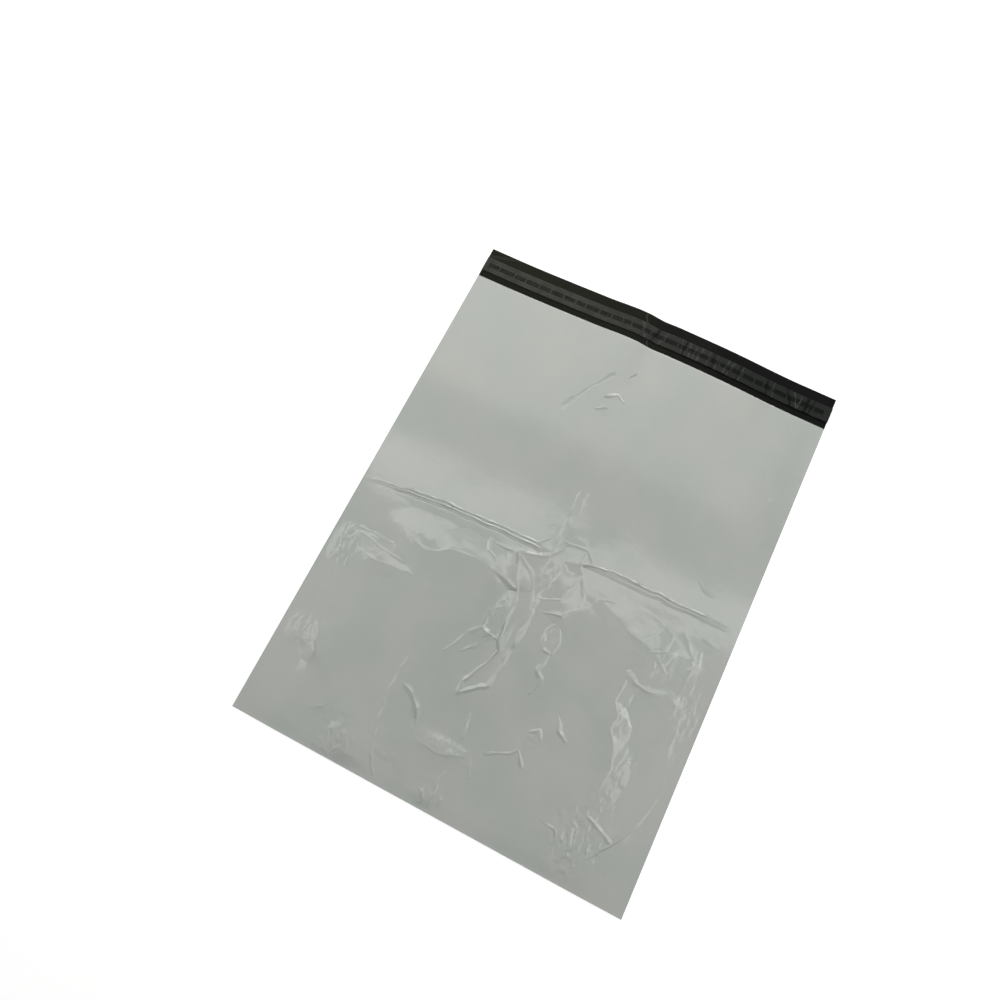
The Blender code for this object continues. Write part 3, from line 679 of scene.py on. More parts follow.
@dataclass
class FrontPlan:
    """The front panel's corners and triangles in plan, with edges along its folds and borders."""

    relief: Relief
    fine: float
    loose: float
    fine_to_up: float = 0.62
    line_step: float = 0.0021
    row_share: float = 0.87
    stagger: float = 0.25
    jitter: float = 0.12
    line_clear: float = 0.42
    weld_clear: float = 0.4
    seed: int = 7

    def __post_init__(self) -> None:
        """Triangulate the plan."""
        self.places: list = []
        self.lines: list = []
        self.add_borders()
        self.add_folds()
        self.add_fill()
        corners, self.triangles = triangulate(np.array(self.places), self.lines)
        self.x, self.y = corners.T

    def add_line(self, places: np.ndarray) -> None:
        """Add a line of places that the triangles keep as edges.

        Args:
            places: Rows of (x, y), in order.
        """
        first = len(self.places)
        self.places += places.tolist()
        self.lines += [(first + i, first + i + 1) for i in range(len(places) - 1)]

    def add_borders(self) -> None:
        """Add the edges, the weld lines and the rows of the lip at the mouth."""
        lie = self.relief.lie
        across = spread(-lie.half_width, lie.half_width, self.line_step)
        along = spread(lie.fold_y, lie.mouth_y, 2 * self.line_step)
        for y in (lie.fold_y, *(lie.mouth_y - np.array(lie.lip_rows))):
            self.add_line(np.stack([across, np.full(across.shape, y)], axis=1))
        for x in (-lie.half_width, -lie.weld_x, lie.weld_x, lie.half_width):
            self.add_line(np.stack([np.full(along.shape, x), along], axis=1))

    def add_folds(self) -> None:
        """Add each fold's line, and a foot line on each side of a ridge."""
        lie = self.relief.lie
        for path, fold in self.relief.paths:
            lengths = np.hypot(*np.diff(path[:, :2], axis=0).T)
            at = np.concatenate([[0.0], np.cumsum(lengths)])
            stations = spread(0.0, at[-1], self.line_step)
            x, y = np.interp(stations, at, path[:, 0]), np.interp(stations, at, path[:, 1])
            along_x, along_y = np.gradient(x), np.gradient(y)
            length = np.hypot(along_x, along_y)
            for side in ((-1, 0, 1) if fold.ridge else (0,)):
                offset = side * fold.half_width / 1000 * self.relief.breadth(x, y)
                aside_x, aside_y = x - offset * along_y / length, y + offset * along_x / length
                line_x, line_y = self.relief.wandered(aside_x, aside_y)
                inside = (line_y > lie.fold_y) & (line_y < lie.mouth_y - lie.lip_rows[0])
                inside &= np.abs(line_x) < lie.weld_x
                self.add_line(np.stack([line_x, line_y], axis=1)[inside])

    def add_fill(self) -> None:
        """Scatter corners between the lines, closer together in the folded lower part."""
        lie = self.relief.lie
        chance = np.random.default_rng(self.seed)
        step_y = lie.spot(0.0, self.fine_to_up)[1]
        top_y = lie.mouth_y - lie.lip_rows[0]
        for low, high, pitch in ((lie.fold_y, step_y, self.fine), (step_y, top_y, self.loose)):
            columns, rows = spread(-lie.weld_x, lie.weld_x, pitch), spread(low, high, self.row_share * pitch)
            x, y = np.meshgrid(columns[1:-1], rows[1:-1])
            lean = self.stagger * (-1.0) ** np.arange(len(x))[:, None]
            x = x + pitch * (lean + chance.uniform(-self.jitter, self.jitter, x.shape))
            x, y = x.ravel(), (y + pitch * chance.uniform(-self.jitter, self.jitter, y.shape)).ravel()
            ruled_x, ruled_y = self.relief.unwander(x, y)
            clear = np.abs(x) < lie.weld_x - self.weld_clear * pitch
            for path, fold in self.relief.paths:
                away = nearest_on_path(ruled_x, ruled_y, path)[0]
                foot = fold.half_width / 1000 * self.relief.breadth(ruled_x, ruled_y) if fold.ridge else 0.0
                least = self.line_clear * pitch
                clear &= (away > least) & (np.abs(away - foot) > least)
            self.places += np.stack([x, y], axis=1)[clear].tolist()

    def border(self, along: np.ndarray, across: np.ndarray, value: float) -> np.ndarray:
        """Indices of the corners on one border, in order along it."""
        found = np.flatnonzero(np.abs(across - value) < 1e-7)
        return found[np.argsort(along[found])]


class SkinBuilder:
    """Gathers the corners and faces of a closed skin, in one mesh."""

    def __init__(self) -> None:
        """Start with no corners."""
        self.corners: list = []
        self.faces: list = []
        self.sides: list = []

    def add_corners(self, x: np.ndarray, y: np.ndarray, z: np.ndarray) -> np.ndarray:
        """Add corners and return their indices in the shape of x.

        Args:
            x: Places across.
            y: Places along.
            z: Heights.

        Returns:
            Indices of the corners.
        """
        first = len(self.corners)
        self.corners.extend(zip(x.ravel().tolist(), y.ravel().tolist(), z.ravel().tolist()))
        return np.arange(first, first + x.size).reshape(x.shape)

    def add_face(self, corners: list, side: FilmSide) -> None:
        """Add one face; a corner that comes twice counts once."""
        self.faces.append(list(dict.fromkeys(corners)))
        self.sides.append(int(side))

    def add_quads(self, grid: np.ndarray, side: FilmSide) -> None:
        """Add a face for each cell of a grid of corner indices.

        Args:
            grid: Rows of corner indices.
            side: Face of the film that they show.
        """
        cells = np.stack([grid[:-1, :-1], grid[:-1, 1:], grid[1:, 1:], grid[1:, :-1]], axis=-1)
        for cell in cells.reshape(-1, 4).tolist():
            self.add_face(cell, side)

    def add_zip(
        self, row: np.ndarray, at: np.ndarray, other: np.ndarray, other_at: np.ndarray, side: FilmSide,
    ) -> None:
        """Join two rows of corners of different counts by triangles.

        Args:
            row: Corner indices of the first row.
            at: Places of those corners along the row, rising.
            other: Corner indices of the second row.
            other_at: Places of those corners, rising.
            side: Face of the film that the triangles show.
        """
        i = j = 0
        while i < len(row) - 1 or j < len(other) - 1:
            if j == len(other) - 1 or (i < len(row) - 1 and at[i + 1] <= other_at[j + 1]):
                face = [int(row[i]), int(row[i + 1]), int(other[j])]
                i += 1
            else:
                face = [int(row[i]), int(other[j + 1]), int(other[j])]
                j += 1
            if len(set(face)) == 3:
                self.add_face(face, side)

    def make_object(self, name: str) -> bpy.types.Object:
        """Turn the gathered faces into an object with its faces pointing out.

        Args:
            name: Name of the object.

        Returns:
            The object.
        """
        data = bpy.data.meshes.new(name)
        data.from_pydata(self.corners, [], self.faces)
        data.polygons.foreach_set("material_index", self.sides)
        merged = bmesh.new()
        merged.from_mesh(data)
        bmesh.ops.recalc_face_normals(merged, faces=merged.faces)
        merged.to_mesh(data)
        merged.free()
        made = bpy.data.objects.new(name, data)
        bpy.context.scene.collection.objects.link(made)
        return made


@dataclass
class NodeBuild:
    """A small helper that adds and links nodes of one tree."""

    tree: bpy.types.NodeTree
    step: int = 0

    def add(self, kind: str, inputs: dict | None = None, **settings: object) -> bpy.types.Node:
        """Add a node, with its settings and input values or links.

        Args:
            kind: Type of the node.
            inputs: Input name or index to a value or to the socket that feeds it.
            settings: Properties of the node.

        Returns:
            The new node.
        """
        node = self.tree.nodes.new(kind)
        node.location = (180 * self.step, 0)
        self.step += 1
        for key, value in settings.items():
            setattr(node, key, value)
        for key, value in (inputs or {}).items():
            if isinstance(value, Socket):
                self.tree.links.new(value, node.inputs[key])
            else:
                node.inputs[key].default_value = value
        return node

    def math(self, operation: str, *values: object) -> Socket:
        """Add a Math node and return its result."""
        return self.add("ShaderNodeMath", dict(enumerate(values)), operation=operation).outputs[0]

    def noise(self, place: Socket, scale: float, detail: float, **inputs: float) -> Socket:
        """Add a noise that reads a place and return its value."""
        inputs = {"Vector": place, "Scale": scale, "Detail": detail, **inputs}
        return self.add("ShaderNodeTexNoise", inputs).outputs[0]

    def mix(self, share: Socket, first: object, second: object) -> Socket:
        """Mix two colours and return the result."""
        return self.add("ShaderNodeMix", {"Factor": share, 6: first, 7: second}, data_type="RGBA").outputs[2]

    def bump(self, height: Socket, strength: float, depth: float) -> Socket:
        """Add a bump and return its normal."""
        inputs = {"Height": height, "Strength": strength, "Distance": depth}
        return self.add("ShaderNodeBump", inputs).outputs[0]

    def feed(self, shader: bpy.types.Node, **sockets: object) -> None:
        """Link sockets to a shader's inputs, or set values there; a _ in a name stands for a space."""
        for key, value in sockets.items():
            given = shader.inputs[key.replace("_", " ")]
            if isinstance(value, Socket):
                self.tree.links.new(value, given)
            else:
                given.default_value = value

    def ramp(self, value: Socket, low: float, high: float, start: float, end: float) -> Socket:
        """Map a value from low..high to start..end, held at both ends."""
        inputs = {"Value": value, "From Min": low, "From Max": high, "To Min": start, "To Max": end}
        return self.add("ShaderNodeMapRange", inputs).outputs["Result"]

    def swing(self, value: Socket, middle: float, swing: float) -> Socket:
        """Map the middle part of a noise to a swing about a level."""
        return self.ramp(value, 0.3, 0.7, middle - swing, middle + swing)


class GeometryTree:
    """A Geometry Nodes tree with named inputs, and its use on an object."""

    def __init__(self, name: str, sizes: dict) -> None:
        """Open the tree with a geometry input and one input for each named size.

        Args:
            name: Name of the tree.
            sizes: Name of each input to its value.
        """
        self.tree = bpy.data.node_groups.new(name, "GeometryNodeTree")
        self.sockets: dict = {}
        self.tree.interface.new_socket("Geometry", in_out="INPUT", socket_type="NodeSocketGeometry")
        for label, value in sizes.items():
            kind = "NodeSocketObject" if isinstance(value, bpy.types.Object) else "NodeSocketFloat"
            kind = "NodeSocketInt" if isinstance(value, int) else kind
            self.sockets[label] = self.tree.interface.new_socket(label, in_out="INPUT", socket_type=kind)
        self.tree.interface.new_socket("Geometry", in_out="OUTPUT", socket_type="NodeSocketGeometry")
        self.values = sizes
        self.build = NodeBuild(self.tree)
        self.given = self.build.add("NodeGroupInput")

    def size(self, label: str) -> Socket:
        """The socket of a named input."""
        return self.given.outputs[label]

    def close(self, geometry: Socket, finish: bpy.types.Material) -> None:
        """End the tree in Realize Instances and Set Material.

        Args:
            geometry: What the tree has made.
            finish: Its material.
        """
        real = self.build.add("GeometryNodeRealizeInstances", {"Geometry": geometry})
        dressed = self.build.add("GeometryNodeSetMaterial", {"Geometry": real.outputs[0], "Material": finish})
        self.build.add("NodeGroupOutput", {0: dressed.outputs[0]})

    def apply(self, piece: bpy.types.Object) -> None:
        """Run the tree on an object and keep the result as its plain mesh.

        Args:
            piece: The object.
        """
        modifier = piece.modifiers.new(self.tree.name, "NODES")
        modifier.node_group = self.tree
        for label, value in self.values.items():
            modifier[self.sockets[label].identifier] = value
        evaluated = piece.evaluated_get(bpy.context.evaluated_depsgraph_get())
        result = bpy.data.meshes.new_from_object(evaluated)
        piece.modifiers.remove(modifier)
        while result.materials and result.materials[0] is None:
            result.materials.pop(index=0)
        piece.data = result


def ground_under(tree: GeometryTree, surface: Socket) -> Socket:
    """Height of a surface straight under each corner.

    Args:
        tree: Adds the nodes.
        surface: Socket of the object to look down on.

    Returns:
        The height, in metres.
    """
    build = tree.build
    place = build.add("GeometryNodeInputPosition").outputs[0]
    high = build.add("ShaderNodeVectorMath", {0: place, 1: (0.0, 0.0, 0.1)}).outputs[0]
    target = build.add("GeometryNodeObjectInfo", {"Object": surface}).outputs["Geometry"]
    ray_in = {
        "Target Geometry": target, "Source Position": high,
        "Ray Direction": (0.0, 0.0, -1.0), "Ray Length": 1.0,
    }
    ray = build.add("GeometryNodeRaycast", ray_in)
    return build.add("ShaderNodeSeparateXYZ", {0: ray.outputs["Hit Position"]}).outputs[2]


def thicken(tree: GeometryTree, sheet: Socket, thickness: float) -> Socket:
    """Turn a sheet into a closed one of the given thickness, which is also an input of the tree.

    Args:
        tree: Adds the nodes.
        sheet: The open sheet.
        thickness: Its thickness, in metres.

    Returns:
        The closed sheet.
    """
    build = tree.build
    up = build.add("ShaderNodeCombineXYZ", {2: tree.size("Thickness")}).outputs[0]
    top_in = {"Mesh": sheet, "Offset": up, "Offset Scale": 1.0, "Individual": False}
    top = build.add("GeometryNodeExtrudeMesh", top_in)
    under = build.add("GeometryNodeFlipFaces", {"Mesh": sheet})
    both = build.add("GeometryNodeJoinGeometry")
    build.tree.links.new(top.outputs[0], both.inputs[0])
    build.tree.links.new(under.outputs[0], both.inputs[0])
    merge_in = {"Geometry": both.outputs[0], "Distance": thickness / 10}
    return build.add("GeometryNodeMergeByDistance", merge_in).outputs[0]


def streaky_ridges(
    tree: GeometryTree, place: Socket, stretch: tuple, sharpness: float, noise_in: dict,
) -> Socket:
    """Sharp streaks of chance shape, from a folded noise.

    Args:
        tree: Adds the nodes; its input Seed sets the shapes.
        place: Place on the surface.
        stretch: Scale of the place along each axis.
        sharpness: How steeply the streaks fall to their sides.
        noise_in: Inputs of the noise.

    Returns:
        1 on a streak's crest, falling to 0.
    """
    build = tree.build
    flat = build.add("ShaderNodeVectorMath", {0: place, 1: stretch}, operation="MULTIPLY").outputs[0]
    inputs = {"Vector": flat, "W": tree.size("Seed"), **noise_in}
    noise = build.add("ShaderNodeTexNoise", inputs, noise_dimensions="4D").outputs[0]
    fold = build.math("ABSOLUTE", build.math("SUBTRACT", noise, 0.5))
    return build.math("MAXIMUM", build.math("SUBTRACT", 1.0, build.math("MULTIPLY", fold, sharpness)), 0.0)


@dataclass(frozen=True)
class CreaseMark:
    """A straight crease across the flap, drawn as a painted line, pale for a painted highlight and dark for
    painted
    shade: a place on it in metres, how far it slants in x for each metre of y, and its half width in metres."""

    x: float
    y: float
    slant: float
    half_width: float


def mark_share(build: NodeBuild, place: Socket, marks: tuple) -> Socket:
    """Where the painted crease lines show on a surface.

    Args:
        build: Adds the nodes.
        place: Place on the surface.
        marks: The crease marks.

    Returns:
        1 on the middle of the nearest mark, falling to 0 at its sides.
    """
    wobble = build.noise(place, WOBBLE_SCALE, 2.0)
    axes = build.add("ShaderNodeSeparateXYZ", {0: place})
    across = build.math("MULTIPLY_ADD", wobble, WOBBLE, axes.outputs[0])
    share = None
    for mark in marks:
        offset = build.math("MULTIPLY_ADD", axes.outputs[1], -mark.slant, across)
        middle = mark.x + WOBBLE / 2 - mark.slant * mark.y
        offset = build.math("ABSOLUTE", build.math("SUBTRACT", offset, middle))
        scale = -1.0 / (mark.half_width * math.hypot(1.0, mark.slant))
        here = build.math("MULTIPLY_ADD", offset, scale, 1.0)
        share = build.math("MAXIMUM", here, 0.0 if share is None else share)
    return share


def new_material(name: str) -> tuple:
    """Make a material with a Principled BSDF.

    Args:
        name: Name of the material.

    Returns:
        The material, a node helper for its tree, and its shader node.
    """
    made = bpy.data.materials.new(name)
    made.use_nodes = True
    shader = made.node_tree.nodes["Principled BSDF"]
    return made, NodeBuild(made.node_tree), shader


@dataclass(frozen=True)
class GreyFilmFinish:
    """Glossy silver-grey polyethylene: a soft pigment sheen under a clear gloss."""

    low_tone: tuple = (0.258, 0.283, 0.260, 1.0)
    high_tone: tuple = (0.294, 0.302, 0.279, 1.0)
    metallic: float = 0.25
    roughness: float = 0.42
    coat: float = 1.0
    coat_roughness: float = 0.08
    rough_swing: float = 0.05
    haze_scale: float = 14.0
    streak_scale: float = 260.0
    streak_share: float = 0.06
    streak_stretch: tuple = (1.0, 0.02, 1.0)
    wrinkle_scale: float = 210.0
    wrinkle_strength: float = 0.35
    wrinkle_depth: float = 0.00018

    def make(self) -> bpy.types.Material:
        """Build the material.

        Returns:
            The finished material.
        """
        made, build, shader = new_material("grey_film_gloss")
        place = build.add("ShaderNodeTexCoord").outputs["Object"]
        haze = build.noise(place, self.haze_scale, 3.0)
        stretched = build.add("ShaderNodeMapping", {"Vector": place, "Scale": self.streak_stretch}).outputs[0]
        streak = build.noise(stretched, self.streak_scale, 2.0)
        haze_part = build.math("MULTIPLY", haze, 1.0 - self.streak_share)
        blend = build.math("ADD", haze_part, build.math("MULTIPLY", streak, self.streak_share))
        tone = build.mix(build.ramp(blend, 0.35, 0.65, 0.0, 1.0), self.low_tone, self.high_tone)
        rough = build.swing(haze, self.roughness, self.rough_swing)
        wrinkle = build.noise(place, self.wrinkle_scale, 4.0, Distortion=0.8)
        bump = build.bump(wrinkle, self.wrinkle_strength, self.wrinkle_depth)
        build.feed(shader, Base_Color=tone, Roughness=rough, Normal=bump, Coat_Normal=bump,
                   Metallic=self.metallic, Coat_Weight=self.coat, Coat_Roughness=self.coat_roughness)
        return made


@dataclass(frozen=True)
class BlackFilmFinish:
    """The film's black inner face: dark, with a dull sheen and fine crosswise wrinkles; painted shade darkens
    it to the right and at the mouth, and painted highlights lie along its creases.
    """

    # Painted shade: the black face goes from the lit tone at its left to the shaded tone at its right, standing
    # in for light that falls off across the flap.
    lit_left_tone: tuple = (0.0150, 0.0160, 0.0110, 1.0)
    shaded_right_tone: tuple = (0.0050, 0.0055, 0.0050, 1.0)
    # Painted highlights: pale lines along the flap's creases.
    crease_glint_tone: tuple = (0.050, 0.052, 0.045, 1.0)
    crease_glint_share: float = 0.8
    shade_run_x: tuple = (-0.03, 0.19)
    # Painted shade: the band at the mouth, below y 0.245, is painted darker.
    mouth_shade_share: float = 0.45
    mouth_shade_run_y: tuple = (0.245, 0.250)
    haze_scale: float = 30.0
    shade_edge_shift: float = 0.16
    roughness: float = 0.42
    rough_swing: float = 0.06
    specular: float = 0.03
    wrinkle_scale: float = 150.0
    wrinkle_stretch: tuple = (1.0, 0.25, 1.0)
    wrinkle_strength: float = 0.5
    wrinkle_depth: float = 0.0003
    # Where the painted crease highlights run.
    creases: tuple = (
        CreaseMark(-0.182, 0.2664, 3.5, 0.0008), CreaseMark(-0.178, 0.2700, 3.1, 0.0006),
        CreaseMark(-0.014, 0.2670, -0.45, 0.0012),
    )

    def make(self) -> bpy.types.Material:
        """Build the material.

        Returns:
            The finished material.
        """
        made, build, shader = new_material("black_film_face")
        place = build.add("ShaderNodeTexCoord").outputs["Object"]
        haze = build.noise(place, self.haze_scale, 4.0)
        parts = build.add("ShaderNodeSeparateXYZ", {0: place})
        # Painted shade: darker to the right, along an edge that the noise shifts.
        shade_edge_x = build.math("MULTIPLY_ADD", haze, self.shade_edge_shift, parts.outputs[0])
        # Painted shade at the mouth.
        mouth = build.ramp(parts.outputs[1], *self.mouth_shade_run_y, self.mouth_shade_share, 0.0)
        share = build.math("MAXIMUM", build.ramp(shade_edge_x, *self.shade_run_x, 0.0, 1.0), mouth)
        tone = build.mix(share, self.lit_left_tone, self.shaded_right_tone)
        # Painted highlights along the creases.
        pale = build.math("MULTIPLY", mark_share(build, place, self.creases), self.crease_glint_share)
        rough = build.swing(haze, self.roughness, self.rough_swing)
        stretched = build.add("ShaderNodeMapping", {"Vector": place, "Scale": self.wrinkle_stretch}).outputs[0]
        wrinkle = build.noise(stretched, self.wrinkle_scale, 3.0)
        build.feed(shader, Base_Color=build.mix(pale, tone, self.crease_glint_tone), Roughness=rough,
                   Normal=build.bump(wrinkle, self.wrinkle_strength, self.wrinkle_depth),
                   Specular_IOR_Level=self.specular)
        return made


@dataclass(frozen=True)
class LinerFinish:
    """Thin dark silver film with a mottled tone, painted darker towards its right end as painted shade and
    painted with highlights and shade along its creases; or the ink on it, which is darker and more mottled."""

    name: str = "liner_film_painted_shade"
    # Painted shade: the liner goes from the lit tone at its left, mottled, to the shaded tone at its right end,
    # standing in for light that falls off across it.
    shaded_tone: tuple = (0.0190, 0.0215, 0.0190, 1.0)
    lit_tone: tuple = (0.055, 0.055, 0.048, 1.0)
    # Painted shade in the liner's crease valleys.
    crease_shade_tone: tuple = (0.0015, 0.0018, 0.0016, 1.0)
    # Painted highlights on the liner's creases.
    highlight_tone: tuple = (0.072, 0.075, 0.068, 1.0)
    # Where the painted shade is full, and how far to the left of that it fades out.
    shade_full_x: float = 0.12
    shade_fade: float = 0.20
    highlight_range: tuple = (0.35, 0.95)
    shade_range: tuple = (0.5, 1.0)
    roughness: float = 0.36
    rough_swing: float = 0.08
    specular: float = 0.04
    # Lines of painted shade along the creases.
    shade_creases: tuple = (
        CreaseMark(0.004, 0.257, 0.3, 0.0026), CreaseMark(0.036, 0.254, 0.1, 0.0013),
        CreaseMark(0.068, 0.254, -0.1, 0.0015), CreaseMark(0.097, 0.254, 0.05, 0.0010),
        CreaseMark(0.1295, 0.254, -0.18, 0.0016), CreaseMark(0.1535, 0.254, -0.47, 0.0019),
        CreaseMark(0.174, 0.254, 0.05, 0.0026), CreaseMark(0.180, 0.254, 0.2, 0.0012),
    )
    # Lines of painted highlight along the creases.
    highlight_creases: tuple = (
        CreaseMark(-0.012, 0.254, -0.47, 0.0020), CreaseMark(0.012, 0.254, 0.4, 0.0010),
        CreaseMark(0.032, 0.254, -0.3, 0.0011), CreaseMark(0.041, 0.254, -0.2, 0.0012),
        CreaseMark(0.0475, 0.254, 0.0, 0.0011), CreaseMark(0.053, 0.254, 0.12, 0.0014),
        CreaseMark(0.0625, 0.254, -0.05, 0.0010), CreaseMark(0.072, 0.254, -0.1, 0.0011),
        CreaseMark(0.083, 0.254, 0.15, 0.0013), CreaseMark(0.088, 0.254, 0.2, 0.0009),
        CreaseMark(0.100, 0.254, 0.05, 0.0010), CreaseMark(0.137, 0.254, -0.1, 0.0010),
        CreaseMark(0.161, 0.254, -0.45, 0.0014), CreaseMark(0.167, 0.254, 0.1, 0.0009),
    )
    mottle_scale: float = 90.0
    mottle_least: float = 0.6
    grain_scale: float = 420.0
    grain_strength: float = 0.4
    grain_depth: float = 0.00012

    def make(self) -> bpy.types.Material:
        """Build the material.

        Returns:
            The finished material.
        """
        made, build, shader = new_material(self.name)
        place = build.add("ShaderNodeTexCoord").outputs["Object"]
        mottle = build.noise(place, self.mottle_scale, 5.0, Roughness=0.6)
        across = build.add("ShaderNodeSeparateXYZ", {0: place}).outputs[0]
        # Painted shade: coat is the share of the lit tone, falling to none at the right end.
        coat = build.ramp(across, self.shade_full_x - self.shade_fade, self.shade_full_x, 1.0, 0.0)
        share = build.math("MULTIPLY", coat, build.ramp(mottle, 0.38, 0.62, self.mottle_least, 1.0))
        tone = build.mix(share, self.shaded_tone, self.lit_tone)
        # Painted highlights along the creases, in mottled patches.
        highlight_patches = build.ramp(mottle, 0.35, 0.6, *self.highlight_range)
        # Painted shade along the creases, in mottled patches.
        shade_patches = build.ramp(mottle, 0.35, 0.55, *self.shade_range)
        pale = build.math("MULTIPLY", mark_share(build, place, self.highlight_creases), highlight_patches)
        dark = build.math("MULTIPLY", mark_share(build, place, self.shade_creases), shade_patches)
        tone = build.mix(dark, build.mix(pale, tone, self.highlight_tone), self.crease_shade_tone)
        rough = build.swing(mottle, self.roughness, self.rough_swing)
        grain = build.noise(place, self.grain_scale, 3.0)
        build.feed(shader, Base_Color=tone, Roughness=rough, Specular_IOR_Level=self.specular,
                   Normal=build.bump(grain, self.grain_strength, self.grain_depth))
        return made


@dataclass(frozen=True)
class PlainFinish:
    """A finish with a slight mottle, for the glue band."""

    name: str
    low_tone: tuple
    high_tone: tuple
    roughness: float
    rough_swing: float = 0.05
    mottle_scale: float = 300.0

    def make(self) -> bpy.types.Material:
        """Build the material.

        Returns:
            The finished material.
        """
        made, build, shader = new_material(self.name)
        place = build.add("ShaderNodeTexCoord").outputs["Object"]
        mottle = build.noise(place, self.mottle_scale, 4.0)
        tone = build.mix(build.ramp(mottle, 0.4, 0.6, 0.0, 1.0), self.low_tone, self.high_tone)
        rough = build.swing(mottle, self.roughness, self.rough_swing)
        build.feed(shader, Base_Color=tone, Roughness=rough)
        return made


def ride_and_slot(piece: bpy.types.Object, slot: str, *nodes: str) -> None:
    """Put a piece on the mailer's body and hide the nodes that it stands for.

    Args:
        piece: The finished piece.
        slot: Name of a finish slot; not used.
        nodes: Names of the nodes.
    """
    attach(piece, BODY)
    if nodes:
        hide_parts(*nodes)


@dataclass
class BagFilm:
    """The folded and side-welded film with its creases, in one closed skin.

    The grey front has triangles with edges along its folds. The pocket's two faces and the underside
    are coarser grids, and rows of triangles join them all at the folds and cut edges.
    """

    relief: Relief
    quality: Quality
    column_pitch: float = 0.0032
    row_pitch: float = 0.0080
    flap_pitch: float = 0.0016
    fold_steps: int = 4
    crinkle_height: float = 0.00075
    crinkle_scale: float = 105.0
    crinkle_stretch: tuple = (1.5, 0.75, 0.0)
    crinkle_sharpness: float = 4.0
    crinkle_seed: float = 3.7
    crinkle_fade: float = 0.006
    crease_angle: float = 3.5
    skin: SkinBuilder = field(default_factory=SkinBuilder)

    def build(self) -> bpy.types.Object:
        """Make the closed skin: outer faces, pocket, bottom fold and cut edges.

        Returns:
            The skin, with its crinkle marks.
        """
        lie, skin = self.relief.lie, self.skin
        plan = FrontPlan(self.relief, *self.quality.value)
        front_z = self.relief.front_outer(plan.x, plan.y)
        front = skin.add_corners(plan.x, plan.y, front_z)
        for triangle in front[plan.triangles].tolist():
            skin.add_face(triangle, FilmSide.GREY)

        inner_xs = spread(-lie.weld_x, lie.weld_x, self.column_pitch)
        xs = np.concatenate([[-lie.half_width], inner_xs, [lie.half_width]])
        ys = spread(lie.fold_y, lie.mouth_y, self.row_pitch)
        floor, roof = self.add_pocket(inner_xs, ys, plan, front_z)

        ends_x, ends_y = np.array([xs[0], xs[-1]]), np.full(2, lie.mouth_y)
        ends = skin.add_corners(ends_x, ends_y, lie.back_inner(ends_x, ends_y))
        mouth = np.concatenate([ends[:1], floor[-1], ends[1:]])
        flap_xs = spread(-lie.half_width, lie.half_width, self.flap_pitch)
        flap_ys = spread(lie.mouth_y, lie.flap_end_y, self.flap_pitch)
        flap_x, flap_y = np.meshgrid(flap_xs, flap_ys[1:])
        flap = skin.add_corners(flap_x, flap_y, lie.back_inner(flap_x, flap_y))
        skin.add_quads(flap, FilmSide.BLACK)
        skin.add_zip(flap[0], flap_xs, mouth, xs, FilmSide.BLACK)

        cut = plan.border(plan.x, plan.y, lie.mouth_y)
        welded = np.flatnonzero(np.abs(plan.x[cut]) > lie.weld_x - 1e-7)
        left, right = welded[welded < len(cut) / 2].max(), welded[welded > len(cut) / 2].min()
        skin.add_zip(front[cut[left:right + 1]], plan.x[cut[left:right + 1]], roof[-1], inner_xs, FilmSide.GREY)
        skin.add_zip(front[cut[:left + 1]], plan.x[cut[:left + 1]], mouth[:2], xs[:2], FilmSide.GREY)
        skin.add_zip(front[cut[right:]], plan.x[cut[right:]], mouth[-2:], xs[-2:], FilmSide.GREY)

        under_ys = np.concatenate([ys, spread(lie.mouth_y, lie.flap_end_y, self.row_pitch)[1:]])
        under_x, under_y = np.meshgrid(xs, under_ys)
        under = skin.add_corners(under_x, under_y, lie.arch(under_x, under_y))
        skin.add_quads(under, FilmSide.GREY)
        self.add_bottom_fold(plan, front, under[0], xs)
        for column, edge_x in ((0, -lie.half_width), (-1, lie.half_width)):
            border = plan.border(plan.y, plan.x, edge_x)
            rim, rim_ys = np.append(front[border], mouth[column]), np.append(plan.y[border] - 1e-6, lie.mouth_y)
            side = np.append(mouth[column], flap[:, column])
            skin.add_zip(rim, rim_ys, under[:len(ys), column], ys, FilmSide.GREY)
            skin.add_zip(side, flap_ys, under[len(ys) - 1:, column], under_ys[len(ys) - 1:], FilmSide.GREY)
        skin.add_zip(flap[-1], flap_xs, under[-1], xs, FilmSide.GREY)
        piece = skin.make_object("film_bag")
        self.mark_crinkles(piece, plan)
        return piece

    def add_pocket(self, xs: np.ndarray, ys: np.ndarray, plan: FrontPlan, front_z: np.ndarray) -> tuple:
        """Add the pocket's floor and roof, which meet at both side welds.

        Args:
            xs: Places of the pocket's columns.
            ys: Places of the pocket's rows.
            plan: The front panel's plan.
            front_z: Heights of the grey front face at the plan's corners.

        Returns:
            Corner indices of the floor and of the roof.
        """
        grid_x, grid_y = np.meshgrid(xs, ys)
        floor_z = self.relief.lie.back_inner(grid_x, grid_y)
        floor = self.skin.add_corners(grid_x, grid_y, floor_z)
        lowest = np.full(grid_x.shape, np.inf)
        column = np.clip(np.searchsorted(xs, plan.x), 1, len(xs) - 1)
        row = np.clip(np.searchsorted(ys, plan.y), 1, len(ys) - 1)
        for corner in ((row - 1, column - 1), (row - 1, column), (row, column - 1), (row, column)):
            np.minimum.at(lowest, corner, front_z)
        lowest[-1] = self.relief.front_outer(xs, np.full(xs.shape, ys[-1]))
        roof_z = np.maximum(lowest - self.relief.lie.film, floor_z + self.relief.lie.film / 2)
        roof = floor.copy()
        roof[:, 1:-1] = self.skin.add_corners(grid_x[:, 1:-1], grid_y[:, 1:-1], roof_z[:, 1:-1])
        for grid in (floor, roof, np.stack([floor[0], roof[0]])):
            self.skin.add_quads(grid, FilmSide.BLACK)
        return floor, roof

